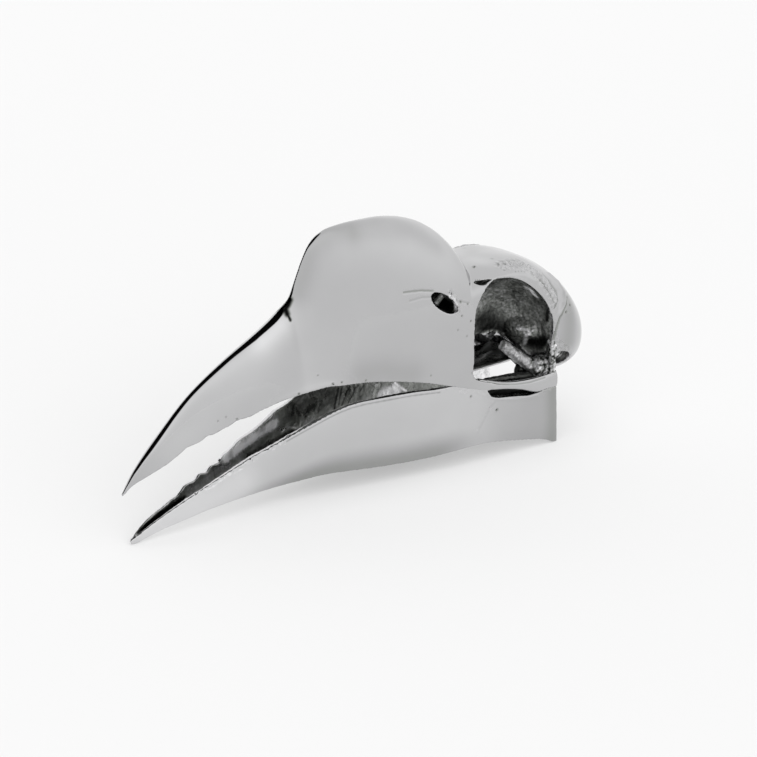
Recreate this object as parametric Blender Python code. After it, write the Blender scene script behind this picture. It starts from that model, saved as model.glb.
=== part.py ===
"""A hornbill skull with its lower jaw, life size, plated with bright chrome.

The skull lies as it rests on a table: on the tip of the lower bill and the two rear corners of the
lower jaw. Lengths in the named values are millimetres. X runs along the skull from the tip of the lower
bill to the back of the head, Y is the bird's right side and Z is up. The finished objects are in metres,
with the origin on the table under the middle of the skull.
"""

import math

import bmesh
import bpy
import numpy as np
from mathutils import Matrix, Vector

MM = 0.001
MIDDLE_X = 84.65  # the middle of the skull's length, from the tip of the lower bill
GAP = 0.3  # between two bones that meet

# Outlines in the side view, as (x, z)
CULMEN = [(-1.7, 18.2), (1.5, 22.9), (9.8, 31.8), (21.2, 42.3), (32.5, 49.6), (44.0, 55.6), (50.5, 58.9),
          (55.4, 62.4)]
CASQUE_FRONT = [(57.2, 64.6), (59.3, 69.4), (61.7, 74.8), (64.7, 80.0), (67.7, 82.5)]
CASQUE_TOP = [(72.0, 84.0), (80.0, 84.5), (88.6, 84.3), (96.0, 83.3), (104.0, 80.8), (110.4, 77.2),
              (115.8, 72.2), (119.4, 67.0)]
FOREHEAD = [(121.5, 63.2), (125.0, 62.8)]
UPPER_TOMIUM = [(-1.7, 17.4), (8.0, 21.9), (18.7, 27.5), (29.1, 30.8), (44.5, 34.5), (62.0, 37.2),
                (74.0, 36.9), (85.0, 35.3), (96.5, 32.6), (108.4, 29.0), (114.5, 26.9), (121.6, 24.6)]
LOWER_TOMIUM = [(-0.4, 1.4), (5.0, 4.5), (10.0, 7.3), (20.0, 11.8), (30.0, 15.9), (40.0, 19.6),
                (50.0, 22.8), (60.0, 26.7), (68.0, 29.6), (78.0, 30.9), (92.5, 30.7), (108.4, 28.6),
                (114.5, 26.5), (121.6, 24.1)]
KEEL = [(-0.4, 0.0), (1.2, 0.0), (4.0, 0.7), (10.4, 2.1), (18.4, 3.2), (26.4, 4.3), (43.0, 5.6), (57.0, 6.0),
        (72.0, 5.8), (84.0, 5.3), (95.0, 4.7), (120.0, 4.9), (133.4, 3.0), (143.0, 0.9)]
SLOT_FLOOR = [(121.6, 24.1), (124.5, 21.4), (128.0, 20.6), (139.7, 18.3), (144.0, 18.6), (151.0, 18.6)]
JUGAL_FLOOR = [(119.0, 25.4), (124.0, 24.2), (128.0, 23.5), (135.2, 21.7), (144.0, 18.9), (151.0, 18.9)]
JUGAL_TOP = [(119.0, 28.8), (124.0, 27.2), (130.0, 25.6), (138.0, 24.4), (144.0, 24.0), (151.0, 24.6)]

# Half widths along the skull, as (x, y)
UPPER_WIDTH = [(-1.7, 0.45), (4.6, 1.4), (11.0, 2.3), (20.0, 3.6), (30.0, 5.0), (41.0, 6.6), (57.0, 9.6),
               (73.5, 12.5), (92.0, 15.1), (110.0, 16.9), (122.0, 17.6)]
LOWER_WIDTH = [(-0.4, 0.7), (5.0, 1.2), (10.0, 1.8), (20.0, 3.1), (30.0, 4.2), (40.0, 5.4), (50.0, 6.9),
               (60.0, 8.6), (73.5, 11.0), (92.0, 14.0), (110.0, 16.4), (128.5, 17.9), (151.0, 18.3)]

# The upper bill's cross-section
RIDGE_RADIUS = [(-1.7, 0.35), (10.0, 0.8), (30.0, 1.2), (50.0, 1.0), (58.0, 0.35), (66.0, 0.5), (76.0, 1.0),
                (120.0, 1.2)]
DOMED = [(-1.7, 0.25), (20.0, 0.2), (50.0, 0.15), (62.0, 0.12), (75.0, 0.25), (90.0, 0.5), (103.0, 0.85),
         (110.0, 1.0), (125.0, 1.0)]  # share of a dome in the section, against a keel
FULLNESS = [(90.0, 2.0), (101.0, 2.2), (114.0, 3.0), (125.0, 3.2)]  # squareness of the dome's sides
SIDE_STEPS = 9
SIDE_SPREAD = 1.5  # above 1, the points on the side lie closer towards the ridge
VAULT_STEPS = 3
VAULT_MOST = 0.6  # of the height of the section
EDGE_THICKNESS = [(-1.7, 0.3), (10.0, 0.9), (40.0, 1.5), (122.0, 2.4)]
VAULT_HEIGHT = [(-1.7, 0.2), (10.0, 1.0), (40.0, 3.5), (90.0, 8.0), (104.0, 11.0), (112.0, 17.0),
                (122.0, 21.0)]
BILL_STATIONS = [-1.7, 0.5, 3.5, 8.0, 14.0, 21.0, 28.0, 36.0, 44.0, 50.0, 53.0, 55.4, 56.6, 57.7, 59.0,
                 60.4, 62.0, 63.6, 65.4, 67.7, 71.0, 76.0, 82.0, 88.0, 94.0, 99.0, 103.5, 107.5, 111.0,
                 114.0, 116.5, 118.5, 120.2, 122.0, 125.0]

# Where the head is parted
CASQUE_SEAM = ((55.6, 61.6), (121.0, 63.8))  # a line in the side view, as two points
FACE_SEAM_X = 122.4
PAST_HEAD = 120.0  # reaches past the head from anywhere in it

# The cranium, as (x, value)
ROOF = [(112.0, 60.0), (118.0, 62.4), (126.0, 64.3), (134.0, 64.4), (142.0, 63.0), (150.0, 59.6),
        (156.0, 55.4), (162.0, 49.2), (166.5, 42.2), (169.4, 36.4), (171.0, 32.0)]
BASE = [(112.0, 37.0), (120.0, 36.2), (136.0, 35.8), (142.0, 32.4), (147.0, 25.5), (151.0, 21.4),
        (158.0, 20.0), (163.0, 20.8), (167.0, 23.4), (169.4, 26.4), (171.0, 29.0)]
CRANIUM_WIDTH = [(112.0, 14.0), (118.0, 15.6), (126.0, 16.6), (136.0, 17.2), (143.0, 18.2), (150.0, 19.4),
                 (156.0, 19.8), (162.0, 18.0), (166.5, 13.6), (169.4, 8.6), (171.0, 3.5)]
CRANIUM_STATIONS = [112.0, 116.0, 120.0, 124.5, 129.0, 134.0, 139.0, 143.0, 146.5, 150.0, 153.0, 156.0, 159.0,
                    162.0, 164.4, 166.5, 168.2, 169.4, 170.4, 171.0]
BROW_SQUARENESS = [(112.0, 3.6), (138.0, 3.5), (152.0, 2.3), (171.0, 2.1)]
CRANIUM_STEPS = 28

# The eye sockets
ORBIT_RIM = [(115.4, 30.5), (115.3, 37.0), (116.3, 43.5), (118.6, 50.3), (122.5, 56.0), (127.5, 59.6),
             (133.0, 59.8), (139.0, 57.4), (144.6, 52.0), (148.4, 44.5), (149.2, 37.5), (149.4, 31.0),
             (150.0, 25.6), (142.0, 24.6), (132.0, 25.0), (122.0, 27.4)]
ORBIT_CENTRE = (132.6, 42.0)
ORBIT_MOUTH_Y = 17.0
ORBIT_FLOOR = 0.37  # size of the socket's floor, as a share of its mouth
ORBIT_STEPS = 7
SEPTUM = 1.2  # half the thickness of the wall between the sockets
BRAIN_CENTRE = (154.0, 0.0, 41.0)
BRAIN_RADII = (13.5, 16.5, 12.5)
EAR_CENTRE = (151.5, 15.5, 28.2)  # the hollow between the braincase and the jaw joint
EAR_RADII = (5.6, 5.0, 3.6)

# The back of the head
FORAMEN = ((169.5, 0.0, 27.0), (4.5, 3.4, 3.0))
CONDYLE = ((168.6, 0.0, 22.6), (1.7, 1.9, 1.5))

# The nostrils
NOSTRIL_CENTRE = (108.0, 56.2)
NOSTRIL_HALF = (6.6, 2.5)
NOSTRIL_TILT = -41.0
NOSTRIL_SPAN = (6.5, 20.5)  # from the floor of the nostril out past the bill's side

# The lower jaw
FORK_X = 66.0  # where the two branches part from the lower bill
FORK_NOTCH = (71.0, 8.5)  # centre and radius of the notch between the two branches
JAW_END_X = 150.6
RAMUS_THICKNESS = [(60.0, 3.0), (90.0, 3.4), (130.0, 3.2), (151.0, 3.4)]
JAW_LEAN = [(-0.4, 0.4), (20.0, 0.36), (45.0, 0.5), (66.0, 0.76), (84.0, 0.86), (110.0, 0.93),
            (151.0, 0.97)]  # width at the lower edge, as a share of that at the cutting edge
JAW_RISE = [(-0.4, 1.4), (30.0, 1.4), (66.0, 1.0)]  # above 1, the side is steeper towards its top
JAW_BULGE = [(-0.4, 0.0), (10.0, 0.1), (66.0, 0.35)]
LOWER_TROUGH = [(-0.4, 0.25), (10.0, 0.55), (30.0, 0.62), (66.0, 0.6)]  # depth, as a share of the height
LOWER_STATIONS = [-0.4, 1.2, 4.0, 8.0, 13.0, 19.0, 26.0, 34.0, 42.0, 50.0, 58.0, 66.0]
RAMUS_STATIONS = [66.3, 74.0, 82.0, 90.0, 98.0, 106.0, 113.0, 118.0, 121.6, 124.5, 128.0, 134.0, 139.7,
                  144.0, 147.6, 150.6]
RAMUS_STEPS = 5
FOOT_REACH = 3.0  # length of the flat under each rear corner
JUGAL_LAYERS = [(0.5, 0.0), (-0.1, 0.25), (-0.2, 0.5), (-0.1, 0.75), (0.5, 1.0), (1.6, 1.0), (2.3, 0.5),
                (1.6, 0.0)]  # distance in from the jaw's side, and share of the height

# Small bones of the jaw joint, left side
QUADRATE_BODY = ((148.0, -13.6, 24.8), (3.8, 2.9, 3.6))
QUADRATE_HEAD = ((153.6, -13.8, 30.6), (2.6, 2.3, 3.4))
QUADRATE_NECK = (2.4, 2.2)
QUADRATE_FLANGE = ((149.6, -17.0, 24.2), (152.8, -17.6, 32.0), 1.4, 1.6)  # start, end and their radii
QUADRATE_SPIKE = ((147.5, -13.0, 26.0), (141.0, -9.5, 32.0), 1.9, 0.8)
PTERYGOID = [(149.4, -10.8, 21.4), (146.0, -7.4, 23.4), (142.0, -3.6, 28.6)]
PTERYGOID_RADIUS = 1.5
PALATINE = [(92.0, -5.6, 42.6), (104.0, -5.5, 34.6), (116.0, -5.2, 29.8), (130.0, -4.9, 29.2),
            (142.2, -4.8, 29.4)]
PALATINE_HALF = (4.5, 0.9)
BAR_SIDES = 10
BAR_STEPS = 8

CHROME = (0.62, 0.62, 0.63)
CHROME_SHADED = (0.42, 0.43, 0.43)  # on the small bones of the jaw joint
CHROME_ROUGHNESS = 0.08
SHADED_BONES = ("quadrate", "pterygoid", "palatine")


def curve(points, x):
    """A smooth curve through the points at x, which never swings past them."""
    xs = [point[0] for point in points]
    ys = [point[1] for point in points]
    if x <= xs[0]:
        return ys[0]
    if x >= xs[-1]:
        return ys[-1]
    slopes = [(ys[i + 1] - ys[i]) / (xs[i + 1] - xs[i]) for i in range(len(xs) - 1)]
    tangents = [slopes[0]]
    for before, after in zip(slopes, slopes[1:]):
        tangents.append(2 * before * after / (before + after) if before * after > 0 else 0.0)
    tangents.append(slopes[-1])
    i = max(k for k in range(len(xs) - 1) if xs[k] <= x)
    step = xs[i + 1] - xs[i]
    t = (x - xs[i]) / step
    return ((2 * t**3 - 3 * t**2 + 1) * ys[i] + (t**3 - 2 * t**2 + t) * step * tangents[i]
            + (3 * t**2 - 2 * t**3) * ys[i + 1] + (t**3 - t**2) * step * tangents[i + 1])


def closed_curve(points, steps):
    """A smooth closed outline through the points, with so many steps between neighbours."""
    made = []
    count = len(points)
    for i in range(count):
        before, start, end, after = (np.array(points[(i + k) % count]) for k in (-1, 0, 1, 2))
        for k in range(steps):
            t = k / steps
            bend = 2 * before - 5 * start + 4 * end - after
            twist = 3 * start - before - 3 * end + after
            made.append(0.5 * (2 * start + (end - before) * t + bend * t**2 + twist * t**3))
    return made


def at(x, y, z):
    """A point of the skull in metres, with the origin under its middle."""
    return Vector(((x - MIDDLE_X) * MM, y * MM, z * MM))


def clear_scene():
    for obj in list(bpy.data.objects):
        bpy.data.objects.remove(obj)


def new_collection(name):
    found = bpy.data.collections.new(name)
    bpy.context.scene.collection.children.link(found)
    return found


def chrome(name, colour):
    made = bpy.data.materials.new(name)
    made.use_nodes = True
    shader = made.node_tree.nodes["Principled BSDF"]
    shader.inputs["Base Color"].default_value = (*colour, 1.0)
    shader.inputs["Metallic"].default_value = 1.0
    shader.inputs["Roughness"].default_value = CHROME_ROUGHNESS
    return made


def finish(bm, name, home):
    """An object in the collection home, from a closed bmesh with its faces turned out."""
    bmesh.ops.recalc_face_normals(bm, faces=bm.faces)
    if bm.calc_volume(signed=True) < 0:
        bmesh.ops.reverse_faces(bm, faces=bm.faces)
    mesh = bpy.data.meshes.new(name)
    bm.to_mesh(mesh)
    bm.free()
    made = bpy.data.objects.new(name, mesh)
    home.objects.link(made)
    return made


def loft(name, sections, home):
    """A solid through closed sections of equal count, capped at both ends."""
    bm = bmesh.new()
    rings = [[bm.verts.new(point) for point in section] for section in sections]
    count = len(rings[0])
    for ring, after in zip(rings, rings[1:]):
        for i in range(count):
            j = (i + 1) % count
            bm.faces.new((ring[i], ring[j], after[j], after[i]))
    caps = [bm.faces.new(rings[0]), bm.faces.new(rings[-1])]
    bmesh.ops.triangulate(bm, faces=caps)
    return finish(bm, name, home)


def ellipsoid(name, centre, radii, home, segments=16, rings=10):
    bm = bmesh.new()
    bmesh.ops.create_uvsphere(bm, u_segments=segments, v_segments=rings, radius=1.0)
    size = Matrix.Diagonal((*(radius * MM for radius in radii), 1.0))
    bm.transform(Matrix.Translation(at(*centre)) @ size)
    return finish(bm, name, home)


def taper(name, start, end, radius_start, radius_end, home, segments=10):
    """A round bar that narrows from start to end."""
    a = at(*start)
    b = at(*end)
    bm = bmesh.new()
    bmesh.ops.create_cone(bm, cap_ends=True, segments=segments, radius1=radius_start * MM,
                          radius2=radius_end * MM, depth=(b - a).length)
    turn = (b - a).to_track_quat("Z", "Y").to_matrix().to_4x4()
    bm.transform(Matrix.Translation((a + b) / 2) @ turn)
    return finish(bm, name, home)


def box(name, low, high, home):
    a = at(*low)
    b = at(*high)
    bm = bmesh.new()
    bmesh.ops.create_cube(bm, size=1.0)
    bm.transform(Matrix.Translation((a + b) / 2) @ Matrix.Diagonal((*(b - a), 1.0)))
    return finish(bm, name, home)


def as_helper(obj):
    obj.hide_render = True
    obj.display_type = "WIRE"
    return obj


def apply(obj):
    """The object's mesh with its modifiers in it."""
    bpy.context.view_layer.update()
    graph = bpy.context.evaluated_depsgraph_get()
    mesh = bpy.data.meshes.new_from_object(obj.evaluated_get(graph))
    old = obj.data
    obj.modifiers.clear()
    obj.data = mesh
    bpy.data.meshes.remove(old)


def boolean(obj, others, operation):
    for other in others:
        modifier = obj.modifiers.new(operation.lower(), "BOOLEAN")
        modifier.operation = operation
        modifier.solver = "EXACT"
        modifier.object = other
    apply(obj)
    keep_largest(obj)


def join(obj, others):
    boolean(obj, others, "UNION")
    for other in others:
        bpy.data.objects.remove(other)


def cut(obj, cutters):
    boolean(obj, cutters, "DIFFERENCE")


def keep_largest(obj):
    """Drops every loose scrap, and keeps the surface that spans the most."""
    bm = bmesh.new()
    bm.from_mesh(obj.data)
    bmesh.ops.triangulate(bm, faces=bm.faces)
    bmesh.ops.dissolve_degenerate(bm, dist=0.002 * MM, edges=bm.edges)
    left = set(bm.verts)
    shells = []
    while left:
        stack = [left.pop()]
        shell = set(stack)
        while stack:
            vert = stack.pop()
            for edge in vert.link_edges:
                other = edge.other_vert(vert)
                if other in left:
                    left.discard(other)
                    shell.add(other)
                    stack.append(other)
        shells.append(shell)
    shells.sort(key=len)
    loose = [vert for shell in shells[:-1] for vert in shell]
    bmesh.ops.delete(bm, geom=loose, context="VERTS")
    bm.to_mesh(obj.data)
    bm.free()


def duplicate(obj, name, home):
    made = obj.copy()
    made.data = obj.data.copy()
    made.name = name
    home.objects.link(made)
    return made


def clear_of(obj, neighbours, helpers):
    """Trims the object so that it meets each neighbour face to face, a gap apart."""
    for neighbour in neighbours:
        swollen = as_helper(duplicate(neighbour, obj.name + "_clear_of_" + neighbour.name, helpers))
        modifier = swollen.modifiers.new("swell", "DISPLACE")
        modifier.mid_level = 0.0
        modifier.strength = GAP * MM
        apply(swollen)
        cut(obj, [swollen])
        bpy.data.objects.remove(swollen)


def mirrored(obj, name, home):
    """The same bone on the bird's right side."""
    made = duplicate(obj, name, home)
    bm = bmesh.new()
    bm.from_mesh(made.data)
    bm.transform(Matrix.Diagonal((1.0, -1.0, 1.0, 1.0)))
    bmesh.ops.reverse_faces(bm, faces=bm.faces)
    bm.to_mesh(made.data)
    bm.free()
    return made


def top_line(x):
    return curve(CULMEN + CASQUE_FRONT + CASQUE_TOP + FOREHEAD, x)


def side_width(x, depth, height, base):
    """Half the bill's width at a depth below its ridge: a keel with a round edge, blended into a dome."""
    radius = min(curve(RIDGE_RADIUS, x), 0.45 * base**2 / height)
    slope = math.sqrt(base**2 - 2 * radius * height) / height
    keel = math.sqrt(2 * radius * depth + (slope * depth) ** 2)
    dome = base * math.sqrt(1 - (1 - depth / height) ** curve(FULLNESS, x))
    share = curve(DOMED, x)
    return (1 - share) * keel + share * dome


def bill_section(x):
    """One cross-section of the bill and casque, from the left edge over the ridge and back by the palate."""
    ridge = top_line(x)
    edge = curve(UPPER_TOMIUM, x)
    base = curve(UPPER_WIDTH, x)
    height = ridge - edge
    left = []
    for i in range(SIDE_STEPS):
        depth = height * (1 - i / SIDE_STEPS) ** SIDE_SPREAD
        left.append((-side_width(x, depth, height, base), ridge - depth))
    inner = base - curve(EDGE_THICKNESS, x)
    vault = min(curve(VAULT_HEIGHT, x), VAULT_MOST * height)
    palate = []
    for i in range(VAULT_STEPS + 1):
        turn = math.pi / 2 * i / VAULT_STEPS
        palate.append((inner * math.cos(turn), edge + vault * math.sin(turn)))
    right = [(-y, z) for y, z in reversed(left)]
    outline = left + [(0.0, ridge)] + right + palate + [(-y, z) for y, z in reversed(palate[:-1])]
    return [at(x, y, z) for y, z in outline]


def cranium_section(x):
    """A rounded box whose corners are squarer over the brows."""
    roof = curve(ROOF, x)
    base = curve(BASE, x)
    width = curve(CRANIUM_WIDTH, x)
    power = 2 / curve(BROW_SQUARENESS, x)
    points = []
    for i in range(CRANIUM_STEPS):
        turn = 2 * math.pi * i / CRANIUM_STEPS
        side = math.copysign(abs(math.sin(turn)) ** power, math.sin(turn))
        rise = math.copysign(abs(math.cos(turn)) ** power, math.cos(turn))
        points.append(at(x, width * side, (roof + base) / 2 + (roof - base) / 2 * rise))
    return points


def orbit_cutter(side, helpers):
    """The bowl of one eye socket: its rim drawn in to a smaller floor at the wall between the two."""
    rim = closed_curve(ORBIT_RIM, 3)
    x, z = ORBIT_CENTRE
    sections = [[at(px, side * PAST_HEAD, pz) for px, pz in rim]]
    for i in range(ORBIT_STEPS + 1):
        share = i / ORBIT_STEPS
        size = math.sqrt(1 - (1 - ORBIT_FLOOR**2) * share**2)
        y = ORBIT_MOUTH_Y + (SEPTUM - ORBIT_MOUTH_Y) * share
        sections.append([at(x + (px - x) * size, side * y, z + (pz - z) * size) for px, pz in rim])
    return as_helper(loft("orbit_cutter", sections, helpers))


def nostril_cutter(side, helpers):
    bm = bmesh.new()
    bmesh.ops.create_cone(bm, cap_ends=True, segments=20, radius1=1.0, radius2=1.0, depth=1.0)
    bm.transform(Matrix.Rotation(math.pi / 2, 4, "X"))
    low, high = NOSTRIL_SPAN
    bm.transform(Matrix.Diagonal((NOSTRIL_HALF[0] * MM, (high - low) * MM, NOSTRIL_HALF[1] * MM, 1.0)))
    bm.transform(Matrix.Rotation(math.radians(-NOSTRIL_TILT), 4, "Y"))
    x, z = NOSTRIL_CENTRE
    bm.transform(Matrix.Translation(at(x, side * (low + high) / 2, z)))
    return as_helper(finish(bm, "nostril_cutter", helpers))


def seam_cutter(name, start, reach, helpers):
    """A block that lies along the seam under the casque and reaches away from it, up or down."""
    (x, z), (x_end, z_end) = CASQUE_SEAM
    low = (x - PAST_HEAD, -PAST_HEAD, z + min(start, reach))
    high = (x + PAST_HEAD, PAST_HEAD, z + max(start, reach))
    made = box(name, low, high, helpers)
    about = Matrix.Translation(at(x, 0.0, z))
    turn = Matrix.Rotation(-math.atan2(z_end - z, x_end - x), 4, "Y")
    made.data.transform(about @ turn @ about.inverted())
    return made


def build_head(bones, helpers):
    """The upper bill, the casque and the cranium, made whole and parted with thin cuts."""
    head = loft("upper_bill", [bill_section(x) for x in BILL_STATIONS], bones)
    cranium = loft("cranium_mass", [cranium_section(x) for x in CRANIUM_STATIONS], helpers)
    join(head, [cranium])
    cutters = [make(side, helpers) for make in (orbit_cutter, nostril_cutter) for side in (-1, 1)]
    cut(head, cutters)
    join(head, [ellipsoid("brain", BRAIN_CENTRE, BRAIN_RADII, helpers, 24, 16)])
    x, y, z = EAR_CENTRE
    ears = [ellipsoid("ear_cutter", (x, side * y, z), EAR_RADII, helpers) for side in (-1, 1)]
    foramen = ellipsoid("foramen_cutter", *FORAMEN, helpers)
    cut(head, ears + [foramen])
    join(head, [ellipsoid("condyle", *CONDYLE, helpers, 12, 8)])
    for cutter in cutters + ears + [foramen]:
        bpy.data.objects.remove(cutter)
    casque = duplicate(head, "casque", bones)
    cranium = duplicate(head, "cranium", bones)
    seam = GAP / 2
    far = PAST_HEAD
    above = seam_cutter("above_seam", -seam, far, helpers)
    below = seam_cutter("below_seam", seam, -far, helpers)
    behind = box("behind_seam", (FACE_SEAM_X - seam, -far, -far), (FACE_SEAM_X + far, far, far), helpers)
    ahead = box("ahead_of_seam", (FACE_SEAM_X - 2 * far, -far, -far), (FACE_SEAM_X + seam, far, far), helpers)
    cut(head, [above, behind])
    cut(casque, [below, behind])
    cut(cranium, [ahead])
    for helper in (above, below, behind, ahead):
        bpy.data.objects.remove(helper)
    return head, casque, cranium


def jaw_side(x, edge, keel, share):
    """A point on the outer side of the left half of the lower jaw, at a share of the way up it, as (y, z)."""
    base = curve(LOWER_WIDTH, x)
    lean = curve(JAW_LEAN, x)
    bulge = curve(JAW_BULGE, x) * math.sin(math.pi * share)
    y = base * (lean + (1 - lean) * math.sin(math.pi / 2 * share))
    return -(y + bulge), keel + (edge - keel) * share ** curve(JAW_RISE, x)


def lower_section(x):
    """One cross-section of the lower bill ahead of the fork: a keeled boat with a trough along its top."""
    edge = curve(LOWER_TOMIUM, x)
    keel = curve(KEEL, x)
    side = [jaw_side(x, edge, keel, i / RAMUS_STEPS) for i in range(RAMUS_STEPS + 1)]
    inner = curve(LOWER_WIDTH, x) - curve(EDGE_THICKNESS, x)
    depth = (edge - keel) * curve(LOWER_TROUGH, x)
    trough = []
    for i in range(VAULT_STEPS + 1):
        turn = math.pi / 2 * i / VAULT_STEPS
        trough.append((-inner * math.cos(turn), edge - depth * math.sin(turn)))
    half = side + trough
    outline = half + [(-y, z) for y, z in reversed(half[:-1])]
    return [at(x, y, z) for y, z in outline]


def ramus_section(x):
    """One cross-section of the left branch of the lower jaw: a tall plate, thickest half way up."""
    edge = curve(LOWER_TOMIUM if x <= SLOT_FLOOR[0][0] else SLOT_FLOOR, x)
    keel = 0.0 if x >= JAW_END_X - FOOT_REACH else curve(KEEL, x)
    base = curve(LOWER_WIDTH, x)
    lean = curve(JAW_LEAN, x)
    thickness = curve(RAMUS_THICKNESS, x)
    outer = []
    inner = []
    for i in range(RAMUS_STEPS + 1):
        share = i / RAMUS_STEPS
        y = base * (lean + (1 - lean) * math.sin(math.pi / 2 * share))
        depth = thickness * (0.5 + 0.5 * math.sin(math.pi * share))
        outer.append(jaw_side(x, edge, keel, share))
        inner.append((depth - y, keel + (edge - keel) * share))
    return [at(x, y, z) for y, z in outer + list(reversed(inner))]


def jugal_section(x):
    """One cross-section of the left cheek bar, which lies on the jaw's upper edge."""
    low = curve(JUGAL_FLOOR, x)
    high = curve(JUGAL_TOP, x)
    side = curve(LOWER_WIDTH, x)
    return [at(x, inset - side, low + (high - low) * share) for inset, share in JUGAL_LAYERS]


def build_lower_jaw(bones, helpers):
    lower = loft("lower_bill", [lower_section(x) for x in LOWER_STATIONS], bones)
    x, radius = FORK_NOTCH
    notch = as_helper(taper("fork_notch", (x, 0, -radius), (x, 0, PAST_HEAD), radius, radius, helpers, 26))
    cut(lower, [notch])
    bpy.data.objects.remove(notch)
    left = loft("jaw_left", [ramus_section(x) for x in RAMUS_STATIONS], bones)
    return lower, left


def build_jugal(bones):
    stations = np.linspace(FACE_SEAM_X + GAP / 2, JAW_END_X - GAP / 2, 9)
    return loft("jugal_left", [jugal_section(x) for x in stations], bones)


def build_quadrate(bones, helpers):
    body = ellipsoid("quadrate_left", *QUADRATE_BODY, bones, 14, 10)
    head = ellipsoid("quadrate_head", *QUADRATE_HEAD, helpers, 12, 8)
    neck = taper("quadrate_neck", QUADRATE_BODY[0], QUADRATE_HEAD[0], *QUADRATE_NECK, helpers)
    spike = taper("quadrate_spike", *QUADRATE_SPIKE, helpers)
    flange = taper("quadrate_flange", *QUADRATE_FLANGE, helpers)
    join(body, [head, neck, spike, flange])
    return body


def build_bar(name, route, half, bones):
    """A bar of oval section along a route, as a loft."""
    knots = sorted(route)
    sections = []
    for x in np.linspace(knots[0][0], knots[-1][0], BAR_STEPS + 1):
        y = curve([(knot[0], knot[1]) for knot in knots], x)
        z = curve([(knot[0], knot[2]) for knot in knots], x)
        turns = [2 * math.pi * k / BAR_SIDES for k in range(BAR_SIDES)]
        sections.append([at(x, y + half[0] * math.cos(turn), z + half[1] * math.sin(turn)) for turn in turns])
    return loft(name, sections, bones)


def build():
    clear_scene()
    bones = new_collection("hornbill_skull")
    helpers = new_collection("helpers")
    head, _, cranium = build_head(bones, helpers)
    _, jaw = build_lower_jaw(bones, helpers)
    jugal = build_jugal(bones)
    clear_of(jugal, [head, cranium], helpers)
    quadrate = build_quadrate(bones, helpers)
    clear_of(quadrate, [cranium, jugal, jaw], helpers)
    pterygoid = build_bar("pterygoid_left", PTERYGOID, (PTERYGOID_RADIUS, PTERYGOID_RADIUS), bones)
    clear_of(pterygoid, [cranium, quadrate], helpers)
    palatine = build_bar("palatine_left", PALATINE, PALATINE_HALF, bones)
    clear_of(palatine, [head, cranium, pterygoid], helpers)
    for left in (jaw, jugal, quadrate, pterygoid, palatine):
        mirrored(left, left.name.replace("_left", "_right"), bones)
    for obj in bones.objects:
        colour = CHROME_SHADED if obj.name.startswith(SHADED_BONES) else CHROME
        obj.data.materials.clear()
        obj.data.materials.append(chrome(obj.name, colour))
        obj.data.shade_smooth()
        obj.data.set_sharp_from_angle(angle=math.radians(40))


build()
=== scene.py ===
import math

import bmesh
import bpy
import numpy as np
from mathutils import Matrix, Vector, noise
from mathutils.bvhtree import BVHTree


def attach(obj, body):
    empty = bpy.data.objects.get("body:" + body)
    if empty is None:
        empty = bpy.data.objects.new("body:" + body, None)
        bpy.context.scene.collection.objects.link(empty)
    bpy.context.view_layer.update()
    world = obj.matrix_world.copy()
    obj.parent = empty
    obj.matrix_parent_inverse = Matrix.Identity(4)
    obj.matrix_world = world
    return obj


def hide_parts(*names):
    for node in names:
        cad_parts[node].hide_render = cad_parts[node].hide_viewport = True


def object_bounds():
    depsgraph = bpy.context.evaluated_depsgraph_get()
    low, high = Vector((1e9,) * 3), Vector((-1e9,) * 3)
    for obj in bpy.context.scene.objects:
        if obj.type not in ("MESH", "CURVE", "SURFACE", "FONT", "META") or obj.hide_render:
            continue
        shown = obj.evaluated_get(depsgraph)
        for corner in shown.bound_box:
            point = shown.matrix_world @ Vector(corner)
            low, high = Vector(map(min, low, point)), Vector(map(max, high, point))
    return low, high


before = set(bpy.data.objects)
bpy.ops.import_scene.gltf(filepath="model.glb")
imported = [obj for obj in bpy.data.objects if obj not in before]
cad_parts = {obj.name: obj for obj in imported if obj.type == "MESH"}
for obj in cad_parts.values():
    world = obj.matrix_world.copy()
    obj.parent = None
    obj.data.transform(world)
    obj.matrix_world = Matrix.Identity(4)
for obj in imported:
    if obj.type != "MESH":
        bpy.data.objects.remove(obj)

CAD_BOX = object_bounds()


def profile(points, blur=1.0, step=0.1):
    """A smooth curve through the points, rounded over a few blur lengths, as a function of x."""
    px, py = np.array(points, float).T
    slope = np.diff(py) / np.diff(px)
    total = slope[:-1] + slope[1:]
    product = slope[:-1] * slope[1:]
    inner = np.where(product > 0, 2 * product / np.where(total == 0, 1.0, total), 0.0)
    tangent = np.concatenate([slope[:1], inner, slope[-1:]])
    xs = np.arange(px[0], px[-1] + step / 2, step)
    i = np.clip(np.searchsorted(px, xs, side="right") - 1, 0, len(px) - 2)
    width = px[i + 1] - px[i]
    t = (xs - px[i]) / width
    ys = ((2 * t**3 - 3 * t**2 + 1) * py[i] + (t**3 - 2 * t**2 + t) * width * tangent[i]
          + (3 * t**2 - 2 * t**3) * py[i + 1] + (t**3 - t**2) * width * tangent[i + 1])
    reach = int(3 * blur / step)
    if reach:
        weights = np.exp(-0.5 * (np.arange(-reach, reach + 1) * step / blur) ** 2)
        before = 2 * ys[0] - ys[reach:0:-1]
        after = 2 * ys[-1] - ys[-2:-reach - 2:-1]
        ys = np.convolve(np.concatenate([before, ys, after]), weights / weights.sum(), "valid")
    return lambda x: np.interp(x, xs, ys)


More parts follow.
